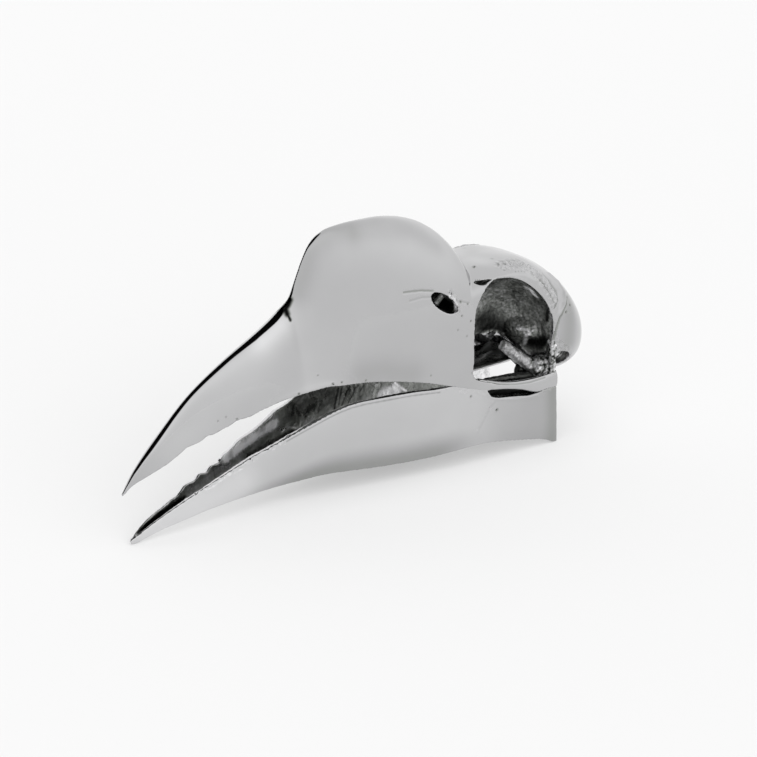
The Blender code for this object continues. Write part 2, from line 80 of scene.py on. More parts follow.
# Lengths in the named values are millimetres in the skull's own frame: X from the tip of the lower bill to
# the back of the head, Y the bird's right side, Z up from the floor.
MM = 0.001
BILL_TIP_X = -2.6
PACKED_TIP_X = -1.7
MIDDLE_X = PACKED_TIP_X - CAD_BOX[0][0] / MM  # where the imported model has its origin

# Outlines in the side view, as (x, z). The first runs over the bill, the casque and the forehead.
culmen_and_casque = profile([
    (-2.6, 16.9), (-1.7, 18.2), (1.5, 22.9), (9.8, 31.8), (21.2, 42.3), (32.5, 49.6), (44, 55.8),
    (50.5, 59.6), (54.6, 62.6), (57.2, 64.6), (59.3, 69.4), (61.7, 74.8), (64.7, 80), (67.7, 82.5), (72, 84),
    (80, 84.5), (88.6, 84.3), (96, 83.3), (104, 80.8), (110.4, 77.2), (115.8, 72.2), (119.4, 67),
    (121.5, 63.2), (125, 62.8)], 0.5)
upper_edge = profile([
    (-2.6, 16.3), (-1.7, 17), (8, 21.9), (18.7, 27.5), (29.1, 30.8), (44.5, 34.5), (62, 37.2), (74, 36.9),
    (85, 35.3), (96.5, 32.6), (108.4, 29), (114.5, 26.9), (121.6, 24.6)], 1.5)
lower_edge = profile([
    (-0.4, 1.5), (2, 3.4), (5, 5), (10, 7.3), (20, 11.8), (30, 15.9), (40, 19.6), (50, 22.8), (60, 26.7),
    (68, 29.3), (78, 30.2), (92.5, 29.9), (104, 29.7), (108.4, 29.2), (114.5, 27.4), (121.6, 25)], 1.5)
keel_line = profile([
    (-0.4, 0), (1.2, 0), (4, 0.7), (10.4, 2.1), (18.4, 3.2), (26.4, 4.3), (43, 5.7), (57, 6.6), (65, 7.1),
    (72, 6.8), (84, 6), (95, 5.6), (104, 5.7), (112, 6), (120, 6.1), (128, 5.3), (136, 3.9), (144, 2.3),
    (147.5, 1), (149.4, 0), (150.6, 0)], 0.8)
SLOT_FRONT_X = 121.6
slot_floor = profile([
    (121.6, 24.4), (122.6, 22.6), (124.4, 21.6), (128, 20.9), (134, 19.9), (139.7, 18.9), (143, 18.9),
    (146, 19.5), (151, 19.5)], 0.6)
jugal_floor = profile([(119, 25.4), (124, 24.2), (128, 23.5), (135.2, 21.7), (144, 18.9), (151, 18.9)])
jugal_top = profile([(119, 28.8), (124, 27.2), (130, 25.6), (138, 24.4), (144, 24), (151, 24.6)])

# Half widths along the skull, as (x, y)
upper_width = profile([
    (-2.6, 0.25), (-1.7, 0.45), (4.6, 1.4), (11, 2.3), (20, 3.6), (30, 5), (41, 6.6), (57, 9.6),
    (73.5, 12.5), (92, 15.1), (110, 16.9), (122, 17.6), (126, 17.6)], 3)
lower_width = profile([
    (-0.4, 0.45), (5, 1.2), (10, 1.8), (20, 3.1), (30, 4.2), (40, 5.4), (50, 6.9), (60, 8.6), (73.5, 11),
    (92, 14), (108, 16.6), (114, 17.1), (128.5, 17.9), (151, 18.3)], 3)

# The bill's cross-section
ridge_radius = profile([
    (-2.6, 0.3), (3, 0.8), (10, 0.9), (30, 1.05), (44, 1.1), (50, 1.15), (55.5, 0.95), (57.5, 0.2),
    (59, 0.03), (62.5, 0.03), (65, 0.15), (67.5, 0.35), (72, 0.4), (76, 0.8), (120, 1.2)], 1)
domed = profile([
    (-2.6, 1), (7, 1), (15, 0.5), (24, 0.2), (46, 0.12), (54, 0.04), (57, 0), (65, 0), (70, 0.08),
    (76, 0.25), (90, 0.5), (103, 0.85), (110, 1), (125, 1)], 1.5)
fullness = profile([(-2.6, 5.5), (4, 5), (11, 3.2), (20, 2), (90, 2), (101, 2.2), (114, 3), (125, 3.2)], 2)
BILL_END_X = 125
BILL_FINE = [(53, 70, 0.2), (108, 125, 0.3)]  # where the stations are closer, and their step
edge_thickness = profile([(-1.7, 0.3), (10, 0.9), (40, 1.5), (122, 2.4)])
vault_height = profile([(-1.7, 0.2), (10, 1), (40, 3.5), (90, 8), (104, 11), (112, 17), (122, 21)], 1.5)
VAULT_MOST = 0.6
PALATE_END_X = 118
PALATE_MARGIN = (0.1, 0.5)  # how far inside the bill's edge it starts, and how far above the vault it ends

# The cranium
CRANIUM_SPAN = (112, 171)
CRANIUM_FINE = [(160, 171, 0.2)]
roof_line = profile([
    (112, 60), (118, 62.4), (126, 64.3), (134, 64.4), (142, 63), (150, 59.6), (156, 55.4), (162, 49.2),
    (166.5, 42.2), (169.4, 36.4), (171, 32)], 1)
base_line = profile([
    (112, 37), (120, 36.2), (136, 35.8), (142, 32.4), (147, 25.5), (151, 21.4), (158, 20), (163, 20.8),
    (167, 23.4), (169.4, 26.4), (171, 29)], 1)
cranium_width = profile([
    (112, 14), (118, 15.6), (126, 16.6), (136, 17.2), (143, 18.2), (150, 19.4), (155, 19.6), (161, 17.4),
    (166, 12.8), (169.4, 8), (171, 3.5)], 1)
brow_squareness = profile([(112, 3.6), (138, 3.5), (152, 2.3), (171, 2.1)], 2)

# The eye sockets
ORBIT_RIM = [
    (116.2, 30.5), (116, 37), (116.2, 44), (117.4, 51), (120.4, 57), (124.8, 60.4), (130, 60.6), (136, 58.4),
    (141.4, 54), (145.2, 49), (147.2, 43), (147.4, 37), (147.8, 31), (148.2, 25.6), (142, 24.6), (132, 25),
    (122, 27.4)]
ORBIT_CENTRE = (132.6, 42)
ORBIT_MOUTH_Y = 17
ORBIT_FLOOR = 0.37
ORBIT_LAYERS = 24
SEPTUM = 1.2
BRAIN = ((153.5, 0, 37.6), (13.5, 14, 7.4))
EAR = ((151.5, 15.5, 28.2), (5.6, 5, 3.6))
FORAMEN = ((169.5, 0, 27), (4.5, 3.4, 3))
CONDYLE = ((167, 0, 23.9), (2.6, 2.4, 2))
NOSTRIL_CENTRE = (106, 56.7)
NOSTRIL_HALF = (5, 2.4)
NOSTRIL_TILT = -39
NOSTRIL_SPAN = (6.5, 20.5)
NOSTRIL_STRUT = ((110.4, 59.6), (106, 55), 1.2)  # the bar across its opening: its ends and radius
NOSTRIL_STRUT_Y = 9.3
LACRIMAL_NOTCH_SEEN = [(471, 282), (480, 280.6), (494, 278.4), (488, 282), (484.5, 285.4), (479, 285)]
LACRIMAL_DEPTH = (9, 22)
ROSTRUM_FLOOR = [(106, 34), (114, 28.5), (124, 24.6), (132, 23.6), (146, 23.6), (150, 26)]
ROSTRUM_TOP = 40
ROSTRUM_HALF = 1.3

# The lower jaw
FORK_X = 66
FORK_OVERLAP = (1, 2)  # how far the bill reaches past the fork, and the branches before it
FORK_NOTCH = (71, 8.5)
FORK_NOTCH_TOP = 60
JAW_START_X = -0.4
JAW_END_X = 150.6
BRANCH_FINE = [(119, 128, 0.3)]
branch_thickness = profile([(60, 3), (90, 3.4), (130, 3.2), (151, 3.4)], 3)
jaw_lean = profile([
    (-0.4, 0.4), (20, 0.36), (45, 0.5), (66, 0.76), (84, 0.86), (110, 0.93), (128, 0.98), (140, 1.03),
    (151, 1.06)], 3)
jaw_rise = profile([(-0.4, 1.4), (30, 1.4), (66, 1), (70, 1)], 3)
jaw_bulge = profile([(-0.4, 0), (10, 0.1), (66, 0.35), (70, 0.35)], 3)
trough_depth = profile([(-0.4, 0.25), (10, 0.55), (30, 0.62), (66, 0.6)], 2)
JUGAL_LAYERS = [(0.5, 0), (-0.1, 0.25), (-0.2, 0.5), (-0.1, 0.75), (0.5, 1), (1.6, 1), (2.3, 0.5), (1.6, 0)]
JUGAL_SUNK = 0.6  # how deep its front end lies in the bill
JUGAL_OUT = (119.5, 124.5)  # where it comes out of the bill
JUGAL_START_X = 119
JUGAL_STATIONS = 240
SLOT_START_X = 121
SLOT_DEPTH = 2.6
SLOT_MARGIN = 0.3
SLOT_LIP = 0.9  # how thick the jaw's side is outside the slot
SLOT_WALL_SPAN = (120, 147)
SLOT_WALL_PAST = (3, 1.2)  # how far the slot's inner wall reaches below the slot and above it
SLOT_WALL_THICKNESS = 1

# The small bones of the jaw joint, left side
QUADRATE_BODY = ((147.4, -13.5, 25.6), (4.3, 3.1, 4.2))
QUADRATE_HEAD = ((153.6, -13.8, 30.6), (2.6, 2.3, 3.4))
QUADRATE_NECK = (2.4, 2.2)
QUADRATE_FLANGE = ((149.2, -17.2, 24), (148.9, -17.2, 36), 1.2, 1.5)
QUADRATE_SPIKE = ((146.6, -12.8, 24.4), (134.2, -9, 35), 2.3, 1.8)
QUADRATE_MESH = (0.3, 3)  # voxel and rounds of smoothing
QUADRATE_ROD = (141.5, 145)  # where the forward rod ends and the body starts
PTERYGOID = [(149.4, -10.8, 21.4), (146, -7.4, 23.4), (142, -3.6, 28.6)]
PTERYGOID_HALF = (1.5, 1.5)
PTERYGOID_KNOB = ((144.6, -9, 23.4), (4.3, 2.4, 4))
PTERYGOID_BLADE = ((145, -12.4, 22.8), (123.5, -13.4, 26.2), 1.9, 1)
PTERYGOID_MESH = (0.35, 4)
PALATINE = [(92, -5.6, 42.6), (104, -5.5, 34.6), (116, -5.2, 29.8), (130, -4.9, 29.2), (142.2, -4.8, 29.4)]
PALATINE_HALF = (4.5, 0.9)

# How finely the visible surface is made
VOXEL = 0.3
SMOOTH_ROUNDS = 6
SMOOTH_STEPS = (0.5, -0.53)
STATION_STEP = 0.6
SIDE_POINTS = 90
ARCH_POINTS = 24
RING_POINTS = 96
CURVE_STEPS = 8
BAR_SIDES = 24
SHORT_STATIONS = 60  # of the smaller lofts

# Where the remeshed surface is put back on its exact curves: each pair says over what that fades in or out
BILL_GAP = (0.35, 0.6)
BILL_REAR = (108, 113)
NOSTRIL_RIM = 1
NOSTRIL_CLEAR = (1, 1.4)
JAW_GAP = 0.4
ABOVE_KEEL = (0.5, 1.5)
BELOW_EDGE = (0.5, 1.2)
JAW_REAR = (146, 149)

# The plating: how bright and how matt it is outside and in the hollows
PLATE_TONE = 0.5
PLATE_MATT = 0.05
PLATE_TINT = (1, 1, 1.01)
DARKEST = 0.005
BRIGHTEST = 0.9
HOLLOW_FROM = (0.5, 2.2)  # how deep below the hull the hollows start, and are full
HOLLOW_LEAST = 0.02
# The hollows' lower tone is partly the duller plating there and partly painted shade
HOLLOW_TONE = 0.3
TROUGH_TONE = 0.4
GAPE_TONE = 0.4
# painted shade: the slot below the cheek bar is made nearly black
SLOT_PAINTED_SHADE = 0.01
HOLLOW_MATT = 0.5
TROUGH_MATT = 0.3
HOLLOW_TINT = (0.97, 1, 0.95)
HOLLOW_RELIEF = 0.16
HOLLOW_CLOUDS = 0.35
HOLLOW_GRAIN = (3.5, 4)  # size and octaves
HOLLOW_SPECKS = 0.3
SPECK_GRAIN = (0.9, 2)
SOCKET_RELIEF = 0.06
BULGE = (144, 36)
BULGE_SIZE = 6
BULGE_RELIEF = 0.22
TROUGH_PAST_FORK = 6
TROUGH_INWARD = 0.7
TROUGH_FACING = -0.3
INNER_FACING = (0.1, 0.5)
INNER_INWARD = 1
# painted light: the inner sides of the jaw's branches, seen through the gap below the eye, are made bright
BRANCH_PAINTED_LIGHT = 0.85
BRANCH_PAINTED_LIGHT_FROM = (118, 126)
# Painted shade along the jaw's lower edge, standing in for the floor's shadow mirrored there
KEEL_SHADE = 0.38
KEEL_SHADE_UP_TO = (0.05, 0.4)
KEEL_SHADE_STARTS = (30, 60)
KEEL_SHADE_ENDS = (100, 125)
CLOUD_SPAN = (0.3, 0.7)  # the part of the noise that is used
SPECKLED_FROM = (0.15, 0.5)  # the mattness from which the plating is speckled, and fully so
PLAIN_FROM = (0.6, 0.75)  # and from which it is plain again
SPECKLE = 0.42
SPECKLE_FINE = 1300
SPECK_CLOUDS = (SPECKLE_FINE, 5, -1, 1)  # scale, detail, lowest and highest value
TONE_CLOUDS = (40, 3, 0.97, 1.03)
MATT_CLOUDS = (220, 4, 0.6, 1.5)
PIMPLES = (900, 3, 0, 1)
PIMPLE_HEIGHT = 0.02
PLATE_PIMPLES = 0.05
INNER_PIMPLES = 0.6
TINT_STOPS = ((0, HOLLOW_TINT), (0.3, HOLLOW_TINT), (0.45, PLATE_TINT), (1, PLATE_TINT))
PIT_DARKNESS = 2.6
PIT_DARKEST = 0.9
PIT_RIM = (0.3, 1.6, 0.4)  # height, distance and width of the raised rim, for a pit of depth and radius 1
SCAR_LEAST = 0.01
HEAD_SCAR_GRAIN = (1.3, 3)
JAW_SCAR_GRAIN = (1.1, 3)
SCAR_MATT = 0.24
SCAR_MATT_FROM = (0.02, 0.3)

# The small bones' looks
LUMP_GRAIN = (2, 4)
QUADRATE_LUMPS = 0.3
QUADRATE_MATT = 0.55
QUADRATE_GRAIN = (1.2, 3)
QUADRATE_ROD_LOOK = (0.55, 0.25)  # tone, and how clouded it is
QUADRATE_BODY_LOOK = (0.36, 3)
QUADRATE_DARKEST = 0.02
DARK_BONE_LUMPS = 0.15
# painted shade: the bones deep behind the palate are made nearly black
DARK_BONE_PAINTED_SHADE = (0.06, 0.5)
DARK_BONE_MATT = 0.25

# The studio
DARK_TOWARDS = (-0.672, -0.118, 0.731)
DARK_FROM = (0.66, 0.72)
DARK_ABOVE = (0.1, 0.16)
DARK_AHEAD = (0, 0.06)
HORIZON_LIGHT = 0.97
LOW_SKY_LIGHT = 1.13
LIGHTER_UP_TO = 0.4
ZENITH_LIGHT = 0.87
ZENITH_FROM = (0.45, 0.85)
STUDIO_DARK = 0.003
FLOOR_HALF = 4  # metres
FLOOR_WHITE = 0.4
# the floor's glow is painted light that fills its shadows, a little weaker near the skull
FLOOR_GLOW = (0.375, 0.405)  # near the skull and far from it
FLOOR_FAR = (0.2, 2.5)
LAMP_STRENGTH = 3
LAMP_SPREAD = 100
LAMP_TILT = (30, -16)

# Edges and marks of the skull where the photograph shows them, in its pixels of 757 by 757. A line has its
# pixels, half width, height and darkness, a painted shade in the groove; pits their pixels, radius and depth,
# and a painted shade in them; a scar its pixels, half width and roughness; a tone its pixels, radius, tone
# and, where that changes, mattness, which paints shade and highlights; a shade its pixels, radius and change
# of tone, which paints shading. Radii, widths and heights are in millimetres.
UPPER_EDGE_SEEN = [
    (124, 493), (136, 484), (154, 473), (168, 464), (178, 456), (182, 452.5), (187, 448), (194, 445),
    (202, 441), (208, 436), (214, 434.5), (222, 430), (230, 426), (238, 420.5), (250, 417), (262, 410.5),
    (270, 407), (282, 401.5), (298, 396), (318, 390), (329, 387), (341, 386), (365, 383), (394, 382),
    (422, 383), (451, 386)]
LOWER_NEAR_EDGE_SEEN = [
    (131, 541.5), (148, 527.5), (170, 511.5), (190, 498), (206, 487.5), (222, 477), (238, 466.5),
    (254, 456.5), (270, 448), (284, 440), (300, 431), (318, 421), (330, 414.5), (341, 409.3), (352, 405),
    (365, 401.5), (389, 397), (413, 392.7), (437, 390), (452, 389)]
LOWER_FAR_EDGE_SEEN = [
    (131, 538), (135, 532), (138.5, 528), (145, 520), (152, 513.5), (160, 507), (167, 501), (172, 497),
    (176, 494.5), (183, 484.5), (188, 481.5), (192, 480), (198, 472.5), (204, 471.5), (209, 464.5),
    (216, 462), (222, 453.5), (228, 449), (238, 438.5), (248, 432), (254, 427.5), (266, 416.5), (276, 406),
    (284, 401)]
HEAD_LINES = [
    ([(281, 312), (285, 309.5), (288, 305), (290, 300)], 1, -0.1, 1),
    ([(286, 310), (287.5, 314)], 1.1, -0.15, 1),
    ([(287.5, 313), (290.5, 320)], 0.6, -0.15, 1),
    ([(404, 292.5), (420, 290.5), (433, 291)], 0.35, -0.25, 0.4),
    ([(410, 301), (422, 297.5), (433, 297)], 0.4, -0.12, 0.15),
    ([(457, 300), (463, 302), (469, 303)], 0.35, -0.2, 0.2),
    ([(472, 373), (480, 376), (500, 382), (515, 383)], 0.4, -0.25, 0.2),
    ([(552, 285), (559, 293), (561, 301), (557, 312), (551, 324), (550, 338)], 1.5, -0.55, 0),
    ([(543, 274), (552, 283), (558, 291), (559.5, 300), (556, 308)], 0.35, -0.4, 0.3),
    ([(567, 297), (566, 305), (561, 316), (557, 328), (554, 340)], 0.4, -0.5, 0.4),
    ([(541, 280), (548, 290), (554, 302)], 0.3, -0.3, 0.3),
    ([(549, 274), (558, 282), (564, 292), (566, 303), (562, 314)], 0.8, 0.5, 0),
    ([(500, 277), (513, 273), (526, 275), (538, 283), (547, 294)], 1, 0.35, 0)]
HEAD_PITS = [
    ([(461, 302), (570, 305), (566, 312)], 0.4, 0.3), ([(468, 304)], 0.35, 0.25),
    ([(462, 316), (471, 321), (342, 382.5)], 0.3, 0.3), ([(474, 267)], 0.55, 0.25),
    ([(498, 264)], 0.5, 0.12), ([(504, 270)], 0.4, 0.1), ([(492, 259)], 0.6, 0.08),
    ([(515, 272), (518, 271.5), (521, 271.5), (524, 272)], 0.25, 0.15), ([(550, 350)], 0.35, 0.5),
    ([(555, 350), (559, 353)], 0.4, 0.5), ([(318, 375.5), (431, 375.5), (218, 421), (226, 417)], 0.25, 0.2),
    ([(467, 336), (458, 330)], 0.3, 0.15), ([(237, 419), (366, 380.5)], 0.3, 0.25),
    ([(333, 384), (299, 394)], 0.35, 0.3)]
HEAD_SCARS = [
    ([(503, 266), (517, 262), (530, 268), (541, 278), (550, 290), (554, 302)], 2.6, 0.42),
    ([(553, 340), (560, 345), (567, 352), (564, 358)], 2, 0.35),
    ([(451, 294), (456, 302), (457, 311)], 1.3, 0.6),
    ([(552, 316), (556, 330), (553, 345)], 1.2, 0.3)]
# Painted shade in the deep parts of the eye socket, the notch and the nostril, a mid-grey nostril bar, and
# painted highlights on the socket's bulge and rim
HOLLOW_PAINTED_SHADE_AND_HIGHLIGHTS = [
    ([(474, 316), (472, 330), (472, 345)], 4.5, 0.03),
    ([(484, 322), (494, 328), (484, 345), (498, 334)], 5, 0.03),
    ([(480, 345), (490, 352), (505, 345)], 4, 0.06),
    ([(530, 341), (538, 343), (545, 341)], 2.6, 0.01),
    ([(538, 289), (546, 298), (549, 306)], 1, 0.03),
    ([(531, 285), (539, 291), (545, 300), (548, 310), (547, 320)], 0.8, 0.02),
    ([(526, 287), (531, 290), (536, 296)], 1.1, 0.85, 0.85),
    ([(479, 282.5), (484, 283), (489, 281)], 1.6, 0.01),
    ([(438, 297), (445, 302), (451, 308)], 3, 0.02),
    ([(446, 294), (448, 297), (449, 299)], 0.9, 0.14),
    ([(444, 293), (441, 298), (437, 303)], 1.3, 0.34, 0.6),
    ([(520, 329), (528, 331), (524, 344)], 0.8, 0.7, 0.85),
    ([(499, 338), (503, 334)], 0.6, 0.8, 0.6),
    ([(489, 339), (491, 342)], 0.4, 0.7, 0.6)]
# A painted highlight on the nostril's rim
PLATE_PAINTED_HIGHLIGHTS = [([(451, 297), (455, 303), (456, 309)], 0.6, 0.95, 0.45)]
# Painted shading: the outer plating made lighter or darker where it mirrors light or dark parts of the studio
PLATE_PAINTED_SHADING = [
    ([(262, 338), (277, 325)], 4.5, 0.3),
    ([(170, 450), (195, 425), (225, 392), (255, 362)], 7, 0.1),
    ([(362, 374), (385, 371), (412, 374)], 5, -0.13),
    ([(566, 288), (570, 305), (570, 322), (568, 342)], 4, -0.19),
    ([(298, 292), (303, 274), (308, 258), (317, 243), (331, 234), (350, 233)], 4, -0.15),
    ([(356, 234), (380, 232), (410, 232), (436, 246)], 3.2, -0.1),
    ([(466, 254), (490, 256), (515, 258)], 4, -0.12)]
# Painted shading: lighter near the lower bill's tip, darker along the jaw's rear edge
JAW_PAINTED_SHADING = [
    ([(150, 532), (175, 520), (205, 505), (240, 486)], 7, 0.22),
    ([(553, 388), (553, 405), (553, 425), (552, 437)], 3, -0.2)]
# Painted light and shade along the jaw's outer side: lighter towards the tip, darker towards the rear
jaw_painted_light = profile([
    (-0.4, 1.2), (30, 1.2), (60, 1.16), (116, 1.16), (126, 0.98), (134, 0.92), (145, 0.86), (151, 0.86)], 3)
# Painted reflections in the trough and gape: dark streaks of painted shade and light strokes of painted
# highlight
JAW_PAINTED_LIGHT_AND_SHADE = [
    ([(508, 396.5), (516, 394.5), (524, 392), (532, 393.5), (540, 391.5)], 0.8, 0.5, 0.6),
    ([(342, 400), (362, 394), (400, 389), (448, 387)], 4.5, 0.27),
    ([(336, 398), (352, 392)], 3, 0.2),
    ([(342, 388), (340, 396), (339, 404)], 0.35, 0.04),
    ([(350, 387), (347, 391), (345, 397), (342, 405)], 0.35, 0.06),
    ([(358, 386), (354, 389), (353, 394), (348, 403)], 0.35, 0.08),
    ([(364, 385), (360, 391)], 0.3, 0.1),
    ([(290, 407), (308, 400), (326, 397)], 5, 0.15),
    ([(226, 458), (240, 447), (256, 436), (274, 424)], 1.6, 1, 0.85),
    ([(138, 532), (150, 522), (166, 510), (184, 498)], 0.9, 0.02),
    ([(238, 464), (256, 452), (272, 443), (292, 432)], 1.2, 0.08),
    ([(334, 411), (336, 400), (338, 389)], 0.5, 0.03),
    ([(380, 397), (388, 393), (396, 390)], 2.2, 0.8),
    ([(395, 383), (400, 387), (406, 391)], 0.4, 0.95),
    ([(420, 388), (436, 388), (452, 389)], 3, 0.3)]
JAW_LINES = [
    ([(495, 402), (489, 410), (484, 420), (478, 432)], 0.5, -0.1, 0.06),
    ([(488, 393.5), (491, 397.5), (500, 399.5), (515, 399.5), (530, 397.5), (538, 395.5)], 0.35, 0.3, 0),
    ([(287, 441.5), (300, 434), (318, 424), (330, 417.5), (341, 412.3), (352, 408), (365, 404.5), (389, 400),
      (413, 395.7), (440, 392.5)], 0.25, -0.12, 0.35)]
JUGAL_LINES = [([(488, 381.5), (500, 384), (515, 384.5), (530, 382.5), (545, 377.5)], 0.3, -0.25, 0.3)]
JAW_PITS = [([(497, 410)], 0.45, 0.45), ([(471, 396.5)], 0.4, 0.25)]
JAW_SCARS = [
    ([(493, 402), (487, 411), (482, 421), (476, 434)], 0.9, 0.3),
    ([(456, 391.5), (470, 393), (485, 394.5)], 0.8, 0.3),
    ([(541, 391), (546, 392), (549, 390)], 1, 0.3),
    ([(196, 495), (215, 484), (240, 468), (262, 454), (285, 442)], 0.7, 0.5)]
EDGE_BLUR = 0.4
EDGE_START = 2.5
EDGE_FADE = (8, 2)  # how far before and past the trace's rear end the bend fades
EDGE_SIDE = 0.6  # the share of the half width from which the bend is full
SIGHT_ROUNDS = 12  # until a sight line meets the bill's side
NOISE = (0.8, 2.1)  # how the octaves fade, and the step in size between them
UPPER_EDGE_REACH = 2
LOWER_EDGE_REACH = 2.5

# The photograph's view: the camera turns about a point of the skull
PHOTO_SIZE = 757
VIEW_TARGET = (91.88, 1.12, 30.12)
VIEW_AZIMUTH = -37
VIEW_ELEVATION = 22
VIEW_DISTANCE = 596.94
VIEW_LENS = 89.64
SENSOR = 36


arch = np.pi * np.arange(2 * ARCH_POINTS + 1)[None, :] / (2 * ARCH_POINTS)


def at(x, y, z):
    """A point of the skull in metres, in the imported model's frame."""
    return Vector(((x - MIDDLE_X) * MM, y * MM, z * MM))


def points_at(x, y, z):
    """Arrays of skull coordinates as one array of points in metres."""
    x, y, z = np.broadcast_arrays(x, y, z)
    return np.stack([(x - MIDDLE_X) * MM, y * MM, z * MM], axis=-1)


def new_object(name, data):
    made = bpy.data.objects.new(name, data)
    bpy.context.scene.collection.objects.link(made)
    return made


def finish_bmesh(bm, name):
    """An object from a closed bmesh, with its faces turned out."""
    bmesh.ops.recalc_face_normals(bm, faces=bm.faces)
    if bm.calc_volume(signed=True) < 0:
        bmesh.ops.reverse_faces(bm, faces=bm.faces)
    mesh = bpy.data.meshes.new(name)
    bm.to_mesh(mesh)
    bm.free()
    return new_object(name, mesh)


def loft(name, rings):
    """A closed solid through rings of points, an array of sections by points by 3."""
    sections, count, _ = rings.shape
    first = np.arange(sections - 1)[:, None] * count
    i = np.arange(count)[None, :]
    j = (i + 1) % count
    quads = np.stack([first + i, first + j, first + count + j, first + count + i], axis=-1).reshape(-1, 4)
    faces = quads.tolist() + [list(range(count)), list(range((sections - 1) * count, sections * count))]
    mesh = bpy.data.meshes.new(name)
    mesh.from_pydata(rings.reshape(-1, 3).tolist(), [], faces)
    bm = bmesh.new()
    bm.from_mesh(mesh)
    bpy.data.meshes.remove(mesh)
    bmesh.ops.triangulate(bm, faces=[face for face in bm.faces if len(face.verts) > 4])
    return finish_bmesh(bm, name)


def ellipsoid(name, centre, radii, segments=48, rings=32):
    bm = bmesh.new()
    bmesh.ops.create_uvsphere(bm, u_segments=segments, v_segments=rings, radius=1.0)
    size = Matrix.Diagonal((*(radius * MM for radius in radii), 1.0))
    bm.transform(Matrix.Translation(at(*centre)) @ size)
    return finish_bmesh(bm, name)


def taper(name, start, end, radius_start, radius_end, segments=32):
    """A round bar that narrows from start to end."""
    a = at(*start)
    b = at(*end)
    bm = bmesh.new()
    bmesh.ops.create_cone(bm, cap_ends=True, segments=segments, radius1=radius_start * MM,
                          radius2=radius_end * MM, depth=(b - a).length)
    turn = (b - a).to_track_quat("Z", "Y").to_matrix().to_4x4()
    bm.transform(Matrix.Translation((a + b) / 2) @ turn)
    return finish_bmesh(bm, name)


def apply_modifiers(obj):
    bpy.context.view_layer.update()
    graph = bpy.context.evaluated_depsgraph_get()
    mesh = bpy.data.meshes.new_from_object(obj.evaluated_get(graph))
    old = obj.data
    obj.modifiers.clear()
    obj.data = mesh
    bpy.data.meshes.remove(old)


def combine(obj, others, operation):
    """A Boolean of obj with the others, which it uses up."""
    for other in others:
        modifier = obj.modifiers.new(operation.lower(), "BOOLEAN")
        modifier.operation = operation
        modifier.solver = "MANIFOLD"
        modifier.object = other
    apply_modifiers(obj)
    for other in others:
        bpy.data.objects.remove(other)


def vectors(obj, what):
    found = np.empty(len(obj.data.vertices) * 3)
    obj.data.vertices.foreach_get(what, found)
    return found.reshape(-1, 3)


def positions(obj):
    return vectors(obj, "co")


def vertex_normals(obj):
    return vectors(obj, "normal")


def set_positions(obj, points):
    obj.data.vertices.foreach_set("co", points.ravel())
    obj.data.update()


def remesh(obj, voxel, rounds=SMOOTH_ROUNDS):
    """One even surface over the whole of obj, then smoothed without shrinking."""
    modifier = obj.modifiers.new("remesh", "REMESH")
    modifier.mode = "VOXEL"
    modifier.voxel_size = voxel * MM
    modifier.use_smooth_shade = True
    apply_modifiers(obj)
    relax(obj, rounds)


def relax(obj, rounds, weight=None):
    """Taubin smoothing: each round draws points to their neighbours' middle and then pushes them back."""
    points = positions(obj)
    ends = np.empty(len(obj.data.edges) * 2, np.int64)
    obj.data.edges.foreach_get("vertices", ends)
    a, b = ends.reshape(-1, 2).T

    def summed(values):
        return np.bincount(a, values[b], len(values)) + np.bincount(b, values[a], len(values))

    count = np.maximum(summed(np.ones(len(points))), 1)[:, None]
    share = 1.0 if weight is None else weight[:, None]
    for _ in range(rounds):
        for factor in SMOOTH_STEPS:
            middle = np.stack([summed(column) for column in points.T], axis=1) / count
            points = points + factor * share * (middle - points)
    set_positions(obj, points)


def keep_largest(obj):
    """Drops every loose scrap of the mesh."""
    bm = bmesh.new()
    bm.from_mesh(obj.data)
    left = set(bm.verts)
    shells = []
    while left:
        front = {left.pop()}
        shell = set(front)
        while front:
            front = {vert for old in front for edge in old.link_edges for vert in edge.verts} & left
            left -= front
            shell |= front
        shells.append(shell)
    shells.sort(key=len)
    bmesh.ops.delete(bm, geom=[vert for shell in shells[:-1] for vert in shell], context="VERTS")
    bm.to_mesh(obj.data)
    bm.free()


def stations(points, fine=()):
    """Station values from the first to the last, with closer ones between the pairs in fine."""
    made = [np.arange(points[0], points[1], STATION_STEP), [points[1]]]
    for low, high, step in fine:
        made.append(np.arange(low, high, step))
    return np.unique(np.round(np.concatenate(made), 3))


def side_width(x, depth, height, base):
    """Half the bill's width at a depth below its ridge: a keel with a round edge, blended into a dome."""
    radius = np.minimum(ridge_radius(x), 0.45 * base**2 / height)
    slope = np.sqrt(base**2 - 2 * radius * height) / height
    keel = np.sqrt(2 * radius * depth + (slope * depth) ** 2)
    dome = base * np.sqrt(1 - (1 - depth / height) ** fullness(x))
    share = domed(x)
    return (1 - share) * keel + share * dome


def bill_rings():
    """The sections of the upper bill and casque."""
    x = stations((BILL_TIP_X, BILL_END_X), BILL_FINE)[:, None]
    ridge = culmen_and_casque(x)
    edge = upper_edge(x)
    base = upper_width(x)
    height = ridge - edge
    depth = height * (1 - np.arange(SIDE_POINTS)[None, :] / SIDE_POINTS) ** 2
    side = side_width(x, depth, height, base)
    left = points_at(x, -side, ridge - depth)
    right = points_at(x, side, ridge - depth)[:, ::-1]
    top = points_at(x, 0.0 * ridge, ridge)
    inner = base - edge_thickness(x)
    palate = points_at(x, inner * np.cos(arch), edge + vault_over(x) * np.sin(arch))
    return np.hstack([left, top, right, palate])


def vault_over(x):
    """How high the palate is vaulted above the bill's edge."""
    return np.minimum(vault_height(x), VAULT_MOST * (culmen_and_casque(x) - upper_edge(x)))


